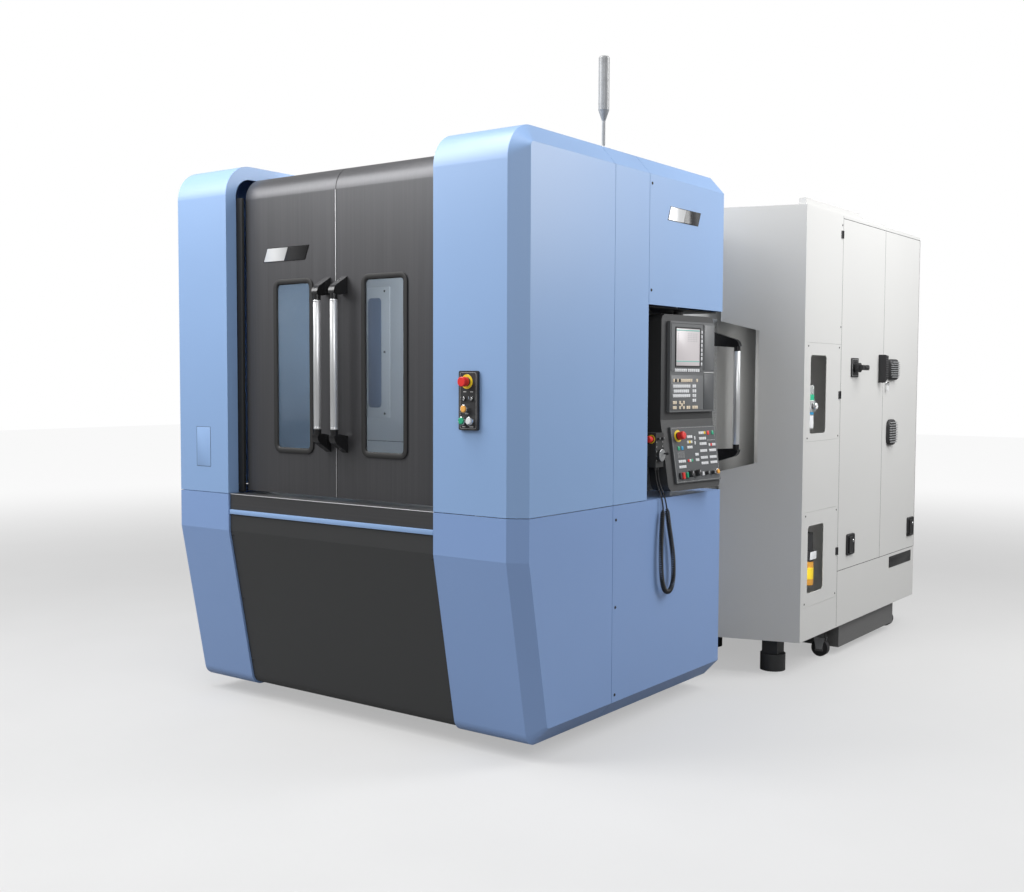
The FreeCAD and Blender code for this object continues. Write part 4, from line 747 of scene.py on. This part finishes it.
# ---- control panel
PLATE_OUT = -np.array(joints["panel_estop_press"]["axis"], float)
FACE_OUT = np.array([PLATE_OUT[0], PLATE_OUT[1], 0.0])
FACE_OUT /= np.linalg.norm(FACE_OUT)
ACROSS = np.cross(UP, FACE_OUT)
PLATE_UP = np.cross(PLATE_OUT, ACROSS)
FEED_KNOB = np.array(joints["feed_override_turn"]["pos_m"], float)
FEED_ACROSS, FEED_DOWN = -52, 236
DISPLAY_MIDDLE = np.mean(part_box("display_unit"), axis=0)
DISPLAY_ACROSS, DISPLAY_HEIGHT, DISPLAY_THICK = 16.5, 1689, 18


def on_plate(across, down, out=0.0):
    """A place on the operation plate, down from its upper edge and out of its face."""
    return FEED_KNOB + ((across - FEED_ACROSS) * ACROSS + (FEED_DOWN - down) * PLATE_UP
                        + out * PLATE_OUT) * MM


def on_display(across, height, out=0.0):
    """A place on the display unit's face, by height from the floor."""
    return DISPLAY_MIDDLE + ((across - DISPLAY_ACROSS) * ACROSS
                             + (height - DISPLAY_HEIGHT) * UP
                             + (DISPLAY_THICK / 2 + out) * FACE_OUT) * MM


def key(width, height, tall=2.6):
    """Key cap: straight sides and a top drawn in by a soft edge."""
    return pressed(rounded(width, height, 1.6, 4), [(0, 0), (0, tall - 1), (0.5, tall - 0.3),
                                                    (1.3, tall)])


# Rows of keys on the operation plate: left edge, distance down, keys in the row, finish.
KEY_PITCH = 15.4
KEY_WIDE, KEY_HIGH = 12.6, 13.5
PLATE_ROWS = [
    (-38, 52, "www"), (-42, 78, "wyw"), (-46, 104, "www"),
    (66, 36, "wwwy"), (65, 64, "wwww"), (64, 91, "wwww"),
    (143, 98, "wrww"), (62, 126, "wwww"), (142, 126, "wwww"),
    (-133, 171, "wwww"), (-133, 198, "wwww"), (-54, 170, "rwg"),
    (15, 142, "ww"), (15, 169, "ww"),
    (61, 160, "wwww"), (61, 188, "wwww"), (141, 160, "wwww"), (141, 187, "wwww"),
]
KEY_FINISH = {"w": WHITE, "y": YELLOW, "r": RED, "g": GREEN, "c": CREAM, "k": BLACK}


def build_plate_keys():
    """Keys, small rings, dots and border line of the operation plate."""
    plate = Fittings(PLATE_OUT, PLATE_UP)
    for left, down, row in PLATE_ROWS:
        for place, letter in enumerate(row):
            plate.add(on_plate(left + KEY_PITCH * (place + 0.5), down),
                      (key(KEY_WIDE, KEY_HIGH), KEY_FINISH[letter]))
    for across, down, wide, high, coat in (
            (28, 59, 9, 17, WHITE), (26, 84, 9, 17, WHITE), (150, 37, 18, 20, RED),
            (190, 37, 18, 20, GREEN), (-118, 106, 17, 19, GREEN), (-88, 106, 17, 19, CYAN)):
        plate.add(on_plate(across, down), (key(wide, high), coat))
    for column in range(3):
        for row in range(3):
            plate.add(on_plate(-122 + 20 * column, 127 + 11 * row),
                      (band(rounded(14, 8, 1.5), 0.8, 0.4, 0.1), LINE))
    for column in range(6):
        plate.add(on_plate(140 + 12 * column, 74), (tile(7, 3, 1, 0.5, 0.2), LINE))
    plate.add(on_plate(25.5, 138.5), (band(rounded(372, 266, 3), 1.0, 0.35, 0.1), LINE))
    plate.make("operation_keys", "control_panel")


def switch_cap(wide, high, tall):
    """Rocker or push switch cap, its front drawn in."""
    return pressed(rounded(wide, high, 2, 4), [(0, 0), (0, tall - 2), (2, tall)])


KNOB_PLACES = {"feed_override": (-52, 236), "spindle_override": (10, 234)}
TICK_REACH, TICK_DOWN = 20.5, 235


def build_plate_switches():
    """Bottom row of switches, the stop's and start button's rings, and the knobs' ticks."""
    plate = Fittings(PLATE_OUT, PLATE_UP)
    plate.add(on_plate(-112, 46), *stop_dressing())
    for across, down, wide, high, tall, coat in (
            (-132, 242, 15, 30, 9, BLACK), (-110, 242, 17, 32, 12, RED),
            (-79, 240, 14, 26, 12, GREEN), (62, 240, 13, 20, 8, WHITE)):
        plate.add(on_plate(across, down), (switch_cap(wide, high, tall), coat))
    selector = turned([(11, 0), (11, 3), (9.5, 4), (9.5, 15), (8.5, 16.5), (0.3, 16.5)], 28)
    pointer = shifted(tile(2.4, 13, 1, 1.0, 0.4), 0, 2, 16.4)
    for across in (96, 150):
        plate.add(on_plate(across, 238), (selector, BLACK), (pointer, WHITE))
    plate.add(on_plate(186, 236), bezel(12.2, 14.6, 11))
    for across, _ in KNOB_PLACES.values():
        for turn in range(-135, 136, 27):
            angle = math.radians(turn)
            plate.add(on_plate(across + TICK_REACH * math.sin(angle),
                               TICK_DOWN - TICK_REACH * math.cos(angle)),
                      (slab(disc(0.9, 10), 0.5, 0.2), LINE))
    plate.make("operation_switches", "control_panel")


def build_knob_tops():
    """Ribbed skirt and white pointer on each override knob.

    The rim's radius is 15.6 plus 0.5 times the cosine of the rib count times the angle.
    """
    ribs = 20
    angle = np.arange(ribs * 4) * 2 * math.pi / (ribs * 4)
    wave = 15.6 + 0.5 * np.cos(ribs * angle)
    rim = np.column_stack([np.cos(angle) * wave, np.sin(angle) * wave])
    skirt = surface([np.column_stack([rim * size, np.full(len(rim), height)])
                     for size, height in ((0.99, 2), (1.0, 3), (0.98, 20), (0.90, 24.6),
                                          (0.86, 25.4))])
    pointer = shifted(tile(2.4, 12, 1, 1.0, 0.4), 0, 7, 25.2)
    for name, spot in KNOB_PLACES.items():
        cap = Fittings(PLATE_OUT, PLATE_UP)
        cap.add(on_plate(*spot), (skirt, BLACK), (pointer, WHITE))
        cap.make(f"{name}_cap", f"{name}_knob")


# Rows of keys on the display unit: left edge, height, letters; a space leaves a gap.
DISPLAY_PITCH = 16.4
DISPLAY_ROWS = [
    (-152, 1622, "ckckcccccc  c"), (-152, 1594, "wwwwwwwww ww"), (-146, 1570, "wwwwwwww"),
    (14, 1570, "ww"), (-152, 1547, "wwwwwwwww"), (14, 1547, "ww"), (14, 1523, "ww"),
    (-152, 1514, "cc"), (-100, 1514, "c c"), (-84, 1502, "c"), (-152, 1489, "cc"),
    (-100, 1489, "c c"), (-36, 1489, "cc ccc"),
]


def build_display():
    """Fascias, screen with its marks, and keys of the display unit."""
    unit = Fittings(FACE_OUT)
    for shape, coat, across, height in (
            (band(rounded(277, 236, 4), 3, 2.5), FASCIA, -29, 1786),
            (band(rounded(216, 196, 4), 7, 3.5, 1.2), BLACK, -24.5, 1786),
            (tile(203, 183, 2, 1.0, 0.3), SCREEN, -24.5, 1786),
            (tile(86, 224, 2, 2.0, 0.6), FASCIA, 159, 1786),
            (tile(86, 178, 2, 2.0, 0.6), PLATE, 159, 1566),
            (tile(88, 4, 0.8, 2.4, 0.6), LINE, 159, 1662),
            (tile(274, 170, 3, 1.6, 0.5), FASCIA, -29, 1562)):
        unit.add(on_display(across, height), (shape, coat))
    for height, tall in ((1868, 6), (1716, 5)):
        unit.add(on_display(-24.5, height, 1.0),
                 (tile(196, tall, 0.5, 0.3, 0.1), TEAL))
    for height in range(1852, 1815, -9):
        unit.add(on_display(-108, height, 1.0), (tile(8, 3, 0.5, 0.3, 0.1), INK))
        for column in range(4):
            unit.add(on_display(-20 + 22 * column, height, 1.0),
                     (tile(13, 2.6, 0.5, 0.3, 0.1), INK))
    for column in range(12):
        across = -128 + 17.2 * column + (6 if column > 5 else 0)
        unit.add(on_display(across, 1672), (key(13.5, 15), WHITE))
    for row in range(8):
        unit.add(on_display(93, 1862 - 22 * row - (4 if row > 6 else 0)), (key(11, 16), WHITE))
    for left, height, row in DISPLAY_ROWS:
        for place, letter in enumerate(row):
            if letter != " ":
                unit.add(on_display(left + DISPLAY_PITCH * (place + 0.5), height, 1.6),
                         (key(DISPLAY_PITCH - 2.6, 15.5), KEY_FINISH[letter]))
    unit.make("display_keys", "control_panel")


# ---- handwheel unit
def build_handwheel():
    """Stop's ring, dial with its ticks and crank, two knobs and the lines beside them."""
    face = 2150
    unit = Fittings(TO_SIDE)
    x, _, z = centre_mm("handwheel_estop")
    unit.add(at(x, 1084, z), (band(disc(21, 40), 5, 1.6), YELLOW), out=TO_FRONT)
    wheel = at(high_mm("handwheel_unit")[0], 1121, 1265)
    dial = turned([(29.4, -12), (29.4, 1.0), (28, 2.2), (12, 2.2), (11, 1.2), (0.3, 1.2)], 48)
    unit.add(wheel, (dial, ALUMINIUM))
    for step in range(20):
        angle = step * math.pi / 10
        upward = np.array([0.0, math.cos(angle), math.sin(angle)])
        unit.add(wheel + 2.2 * MM * TO_SIDE + 25 * MM * upward,
                 (tile(1.1, 5, 0.4, 0.4, 0.1), BLACK), up=upward)
    crank = turned([(4.5, 0), (4.5, 10), (6.5, 13), (6.5, 24), (5, 26), (0.3, 26)], 20)
    unit.add(wheel + np.array([2, 14, 8]) * MM, (crank, BLACK))
    knob = turned([(8.5, 0), (8.5, 2), (7, 3), (7, 11), (6, 12.5), (0.3, 12.5)], 24)
    pointer = shifted(tile(1.6, 8, 0.6, 0.6, 0.2), 0, 1, 12.5)
    for y in (1102, 1140):
        unit.add(at(face, y, 1345), (knob, BLACK), (pointer, WHITE))
    for row in range(5):
        for y in (1092, 1150):
            unit.add(at(face, y, 1240 + 22 * row), (tile(3.5, 7, 1, 0.5, 0.2), LINE))
    unit.make("handwheel_fittings")


# ---- grey cabinet
def ribbed_vent(width, height, corner, ribs):
    """Vent hood: a rounded black base with cross ribs standing on it, thinner at the ends."""
    base = pressed(rounded(width, height, corner), [(0, 0), (0, 14), (4, 20), (9, 22)])
    parts = [(base, BLACK)]
    pitch = (height - 24) / ribs
    for rib in range(ribs):
        up = (rib + 0.5) * pitch - (height - 24) / 2
        room = width - 14 if abs(up) < height / 2 - corner * 0.7 else width - 34
        parts.append((shifted(tile(room, pitch * 0.45, 1.6, 12, 2), 0, up, 20),
                      ALUMINIUM))
    return parts


BREAKER_SPOT = (2985, 1700)


def build_cabinet_fittings():
    """Vents, fan hood, key, breaker plate and breaker grip on the cabinet's doors."""
    side = high_mm("cabinet_front_door")[0]
    side_piece("upper_vent", (side, 3632, 1693), "cabinet_rear_door",
               *ribbed_vent(150, 131, 30, 8))
    side_piece("lower_vent", (side, 3621, 1298), "cabinet_rear_door",
               *ribbed_vent(134, 162, 44, 9))
    hood = pressed(polygon([(-24, -86), (24, -62), (24, 82), (-24, 86)]),
                   [(0, 0), (0, 40), (3, 46), (6, 47)])
    slats = [(shifted(tile(36, 4, 1, 3, 1), 0, up, 45.5), GLOSS_BLACK)
             for up in range(-56, 71, 14)]
    side_piece("door_fan_hood", (side, 3418, 1697), "cabinet_front_door", (hood, BLACK), *slats)
    side_piece("door_key", (side, 3524, 1606), "cabinet_rear_door",
               (turned([(9, 0), (9, 6), (7, 8), (0.3, 8)], 24), CHROME),
               (shifted(tile(3, 22, 1, 18), 0, -2, 6), CHROME),
               (shifted(tile(20, 34, 3, 2), 4, -30, 14), WHITE))
    side_piece("breaker_plate", (side, *BREAKER_SPOT), "cabinet_front_door",
               (pressed(rounded(110, 112, 5), [(0, 0), (0, 5), (1.5, 7)]), BLACK),
               (shifted(band(rounded(94, 96, 3), 1.4, 0.5, 0.2), 0, 0, 7), LINE),
               (shifted(band(disc(36, 40), 6, 3), 0, 0, 7), GLOSS_BLACK))
    side_piece("breaker_grip", (high_mm("breaker_handle")[0], *BREAKER_SPOT), "breaker_handle",
               (shifted(tile(66, 20, 8, 5, 3), 42, 0, 0), GLOSS_BLACK))


def latch():
    """Flush paddle latch: dished frame, paddle and round lock."""
    return [(pressed(rounded(116, 124, 12), [(0, 0), (0, 9), (3, 12), (8, 12), (10, 8)]), BLACK),
            (shifted(pressed(rounded(50, 98, 6), [(0, 0), (0, 9), (3, 12)]), -20, 0, 7),
             GLOSS_BLACK),
            (shifted(turned([(10, 0), (10, 6), (8, 8), (0.3, 8)], 28), 30, 18, 7), CHROME)]


def build_latches():
    """The doors' latches, the front door's three hinges and the cabinet's screws."""
    side = high_mm("cabinet_front_door")[0]
    side_piece("front_door_latch", (side, 2965, 657), "cabinet_front_door", *latch())
    side_piece("rear_door_latch", (side, 4045, 658), "cabinet_rear_door", *latch())
    barrel = turned([(4, 0), (5, 1), (5, 43), (4, 44)], 20)
    for number, z in enumerate((2455, 1541, 638)):
        hinge = Fittings(TO_SIDE)
        hinge.add(at(side, 2756, z), (tile(22, 44, 3, 4, 1.2), BLACK))
        hinge.add(at(side + 5, 2764, z - 22), (barrel, BLACK), out=UP, up=TO_REAR)
        hinge.make(f"cabinet_hinge_{number + 1}")
    screws = Fittings(TO_SIDE)
    for y, z in [(y, z) for z in (1812, 1308, 880, 394) for y in (2302, 2746)] \
            + [(2762, 2508), (2762, 1930)]:
        screws.add(at(side, y, z), (button_head_screw(0.75), BLACK))
    screws.make("cabinet_screws")


def cuff(radius, height):
    """Band round a bowl, its edges eased."""
    return turned([(radius - 1, 0), (radius, 1), (radius, height - 1), (radius - 1, height)], 36)


def build_service_units():
    """Cups, bands and fields of the air unit and the oil unit behind the service windows."""
    low, high = box_mm("air_service_unit")
    x, y, z = high[0] - 26, high[1] - 30, low[2] - 20
    cup = turned([(24.5, 0), (25.5, 2), (25.5, 82), (22, 88), (0.3, 88)], 36)
    gauge = turned([(19, 0), (19, 12), (16.5, 15), (15.5, 13), (0.3, 13)], 32)
    unit = Fittings(UP, TO_REAR)
    for shape, coat, up in ((cup, BOWL, 178), (cuff(26.5, 34), GREEN, 180),
                            (cuff(27.5, 5), WHITE, 176), (cuff(25, 14), CYAN, 102),
                            (cuff(24.2, 70), WHITE, 26)):
        unit.add(at(x, y, z + up), (shape, coat))
    for shape, coat, proud, along in ((tile(66, 30, 3, 2), BLACK, 26, 2),
                                      (gauge, CHROME, 28, 4),
                                      (turned([(15.3, 0), (15.3, 1)], 32), WHITE, 41, 4)):
        unit.add(at(x + proud, y + along, z + 150), (shape, coat), out=TO_SIDE, up=UP)
    unit.make("air_unit_fittings")
    low, high = box_mm("lubrication_unit")
    x, y, z = high[0] - 42, high[1] - 44, low[2] - 22
    unit = Fittings(UP, TO_REAR)
    for shape, coat, along, up in ((cuff(41, 142), OIL, 0, 26), (cuff(41.8, 66), YELLOW, 0, 60),
                                   (cuff(43, 12), BLACK, 0, 160), (cuff(38.2, 8), BLACK, -2, 312)):
        unit.add(at(x, y + along, z + up), (shape, coat))
    unit.add(at(high[0], y - 2, z + 194), (tile(84, 44, 3, 2), WHITE), out=TO_SIDE,
             up=UP)
    unit.make("oil_unit_fittings")


# ---- room, tank and floor
DIVIDER_MIDDLE, DIVIDER_FACE = 1022, 1056


def build_divider_panels():
    """Screwed cover with a round-cornered dark window at each end of the divider, and a thin line
    of painted shadow across it.
    """
    covers = Fittings()

    def place(side, inset, z):
        """A place as far from one end's edge as its mirror place is from the other's."""
        return at(DIVIDER_MIDDLE + side * (DIVIDER_MIDDLE - inset), DIVIDER_FACE, z)

    for side in (-1, 1):
        covers.add(place(side, 393, 1768.5), (tile(170, 727, 4, 2.5, 1), ROOM))
        covers.add(place(side, 366, 1768),
                   (shifted(tile(100, 610, 22, 1.5, 0.6), 0, 0, 2.5), SMOKED))
        for z in (2110, 1773, 1430):
            covers.add(place(side, 440, z), (shifted(button_head_screw(), 0, 0, 2.5), DARK))
    # A thin dark line across the divider is painted shadow.
    covers.add(at(DIVIDER_MIDDLE, DIVIDER_FACE, 1277),
               (tile(1430, 3, 1, 0.6, 0.2), GAP_SHADOW_PAINT))
    covers.make("divider_covers", "changer")


def build_room_panel():
    """Dark tinted sheet of painted shade between two rails on the setup room's left wall."""
    wall = low_mm("room_liner")[0] + 3
    panel = Fittings(TO_SIDE)
    for z, shape, coat in ((1705, tile(600, 1010, 20, 3, 1), WALL_SHADE_PAINT),
                           (2262, tile(660, 46, 6, 26, 3), ROOM),
                           (1172, tile(660, 30, 6, 14, 3), ROOM)):
        panel.add(at(wall, 690, z), (shape, coat))
    panel.make("room_wall_shade_panel")


WHEEL_THICK = 34


def build_caster_forks():
    """Two cheeks of the fork beside each caster wheel."""
    forks = Fittings(TO_REAR)
    cheek = slab(polygon([(-18, -10), (18, -10), (34, 58), (-34, 58)]), 3, 0.5)
    for wheels in ("outer_caster_wheels", "inner_caster_wheels"):
        low, high = box_mm(wheels)
        for y in (low[1] + WHEEL_THICK / 2, high[1] - WHEEL_THICK / 2):
            for shift in (-24, 24):
                forks.add(at((low[0] + high[0]) / 2, y + shift - 1.5, 54), (cheek, ALUMINIUM))
    forks.make("caster_forks", "tank")


def blank_plate(reach, tall=62, lean=26):
    """Plain two-tone name strip with slanted ends on a dark rim, and nothing on it."""
    def slanted(start, end, rim=0):
        half, skew = tall / 2 + 3 * rim, lean / 2 + rim
        return polygon([(start - skew, -half), (end - skew, -half), (end + skew, half),
                        (start + skew, half)])
    return [(slab(slanted(-reach - 3, reach + 3, 1), 1.6, 0.4), GLOSS_BLACK),
            (slab(slanted(-reach, 0), 2.6, 0.6), PALE_SHEET_AND_HIGHLIGHT),
            (slab(slanted(0, reach), 2.6, 0.6), GLOSS_BLACK)]


def build_blank_plates():
    """One blank strip on the left door, one on the side and one on the cabinet's base."""
    door = Fittings()
    door.add(at(690, low_mm("left_door_panel")[1], 2218), *blank_plate(140))
    door.make("door_blank_plate", "left_front_door")
    side_piece("side_blank_plate", (high_mm("side_middle_cover")[0], 1340, 2420), "machine",
               *blank_plate(150))
    side_piece("cabinet_blank_plate", (high_mm("cabinet_shell")[0], 3868, 462), "machine",
               (tile(420, 72, 4, 2.2, 0.8), GLOSS_BLACK))


# ---- studio
SURROUND_LIGHT = 0.36
# Place, target, size and power of each studio lamp.
STUDIO_LIGHTS = {
    "side_light": ((3.3, 0.9, 4.6), (0.8, 0.7, 2.1), 2.4, 120),
    "corner_light": ((4.5, -5.5, 3.5), (0.2, -1.8, 1.7), 2.5, 70),
    "cabinet_light": ((5.0, 3.0, 3.8), (1.2, 1.0, 1.7), 2.4, 115),
    "front_light": ((-3.6, -5.4, 5.2), (-0.4, -2.0, 1.9), 3.4, 290),
    "top_light": ((-0.6, -3.0, 5.6), (-0.3, -1.6, 2.0), 2.4, 170),
}
FLOOR_NEAR_GLOW, FLOOR_FAR_GLOW = 0.42, 0.82


def area_light(name, place, target, size, power, colour=(1, 1, 1), tall=None, seen=True):
    """Soft light that faces its target: a square, or as tall as given."""
    data = bpy.data.lights.new(name, "AREA")
    data.size = size
    if tall is not None:
        data.shape = "RECTANGLE"
        data.size_y = tall
    data.energy = power
    data.color = colour
    light = bpy.data.objects.new(name, data)
    light.visible_camera = seen
    bpy.context.scene.collection.objects.link(light)
    back = np.asarray(place, float) - np.asarray(target, float)
    back /= np.linalg.norm(back)
    right = np.cross(UP if abs(back[2]) < 0.99 else TO_REAR, back)
    right /= np.linalg.norm(right)
    upward = np.cross(back, right)
    light.matrix_world = axes_matrix(right, upward, back, place)


def build_floor(half=30.0, near=4.0, far=13.0):
    """Pale floor that looks whiter with distance, so that it meets a white surround."""
    mesh = bpy.data.meshes.new("studio_floor")
    mesh.from_pydata([(-half, -half, 0), (half, -half, 0), (half, half, 0), (-half, half, 0)],
                     [], [(0, 1, 2, 3)])
    floor = bpy.data.objects.new("studio_floor", mesh)
    material = finish("pale_floor", (0.27, 0.27, 0.27), "peel", 60, 0.02, 0.75)
    tree = material.node_tree
    shader = tree.nodes["Principled BSDF"]
    place = tree.nodes.new("ShaderNodeTexCoord")
    reach = tree.nodes.new("ShaderNodeVectorMath")
    reach.operation = "LENGTH"
    fade = tree.nodes.new("ShaderNodeMapRange")
    fade.interpolation_type = "SMOOTHSTEP"
    for label, value in (("From Min", near), ("From Max", far),
                         ("To Min", FLOOR_NEAR_GLOW), ("To Max", FLOOR_FAR_GLOW)):
        fade.inputs[label].default_value = value
    tree.links.new(place.outputs["Object"], reach.inputs[0])
    tree.links.new(reach.outputs["Value"], fade.inputs["Value"])
    ray = tree.nodes.new("ShaderNodeLightPath").outputs["Is Camera Ray"]
    tree.links.new(math_node(tree, "MULTIPLY", fade.outputs["Result"], ray),
                   shader.inputs["Emission Color"])
    shader.inputs["Emission Strength"].default_value = 1.0
    mesh.materials.append(material)
    bpy.context.scene.collection.objects.link(floor)


def build_studio():
    """White surround that lights softly, lamps above and beside, and a lamp in the room."""
    build_floor()
    world = bpy.data.worlds.new("white_studio")
    world.use_nodes = True
    tree = world.node_tree
    background = tree.nodes["Background"]
    background.inputs["Color"].default_value = (1, 1, 1, 1)
    ray = tree.nodes.new("ShaderNodeLightPath")
    level = tree.nodes.new("ShaderNodeMapRange")
    level.inputs["To Min"].default_value = SURROUND_LIGHT
    level.inputs["To Max"].default_value = 1.0
    tree.links.new(ray.outputs["Is Camera Ray"], level.inputs["Value"])
    tree.links.new(level.outputs["Result"], background.inputs["Strength"])
    bpy.context.scene.world = world
    for name, (place, target, size, power) in STUDIO_LIGHTS.items():
        area_light(name, place, target, size, power)
    recess = at(2030, 2330, 1533)
    area_light("recess_lamp", recess, recess + TO_REAR, 0.1, 0.4, tall=0.7, seen=False)
    for z in (1560, 640):
        window = at(2384, 2345, z)
        area_light("window_lamp", window, window + np.array([-0.35, 0.9, 0.0]), 0.03, 0.25,
                   tall=0.35, seen=False)
        inside = at(2240, 2620, z)
        area_light("cabinet_lamp", inside, inside + np.array([-0.6, 0.8, 0.0]), 0.2, 1.2,
                   tall=0.5, seen=False)
    room_low, room_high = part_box("room_liner")
    middle = [(room_low[i] + room_high[i]) / 2 for i in range(3)]
    area_light("room_lamp", (middle[0] + 0.2, middle[1] - 0.1, room_high[2] - 0.06),
               (middle[0], middle[1] + 0.1, room_low[2]), 0.5, 11, (0.95, 0.98, 1))
    bpy.context.scene.view_settings.view_transform = "Standard"


build_camera()
dress_nodes()
build_cord()
build_lamp_foot()
build_cover_screws()
build_front_strips()
build_cabinet_seams()
build_room_panel()
build_post_plate()
build_door_seals()
build_grips()
build_switch_box()
build_plate_keys()
build_plate_switches()
build_knob_tops()
build_display()
build_handwheel()
build_cabinet_fittings()
build_latches()
build_service_units()
build_divider_panels()
build_caster_forks()
build_blank_plates()
build_studio()
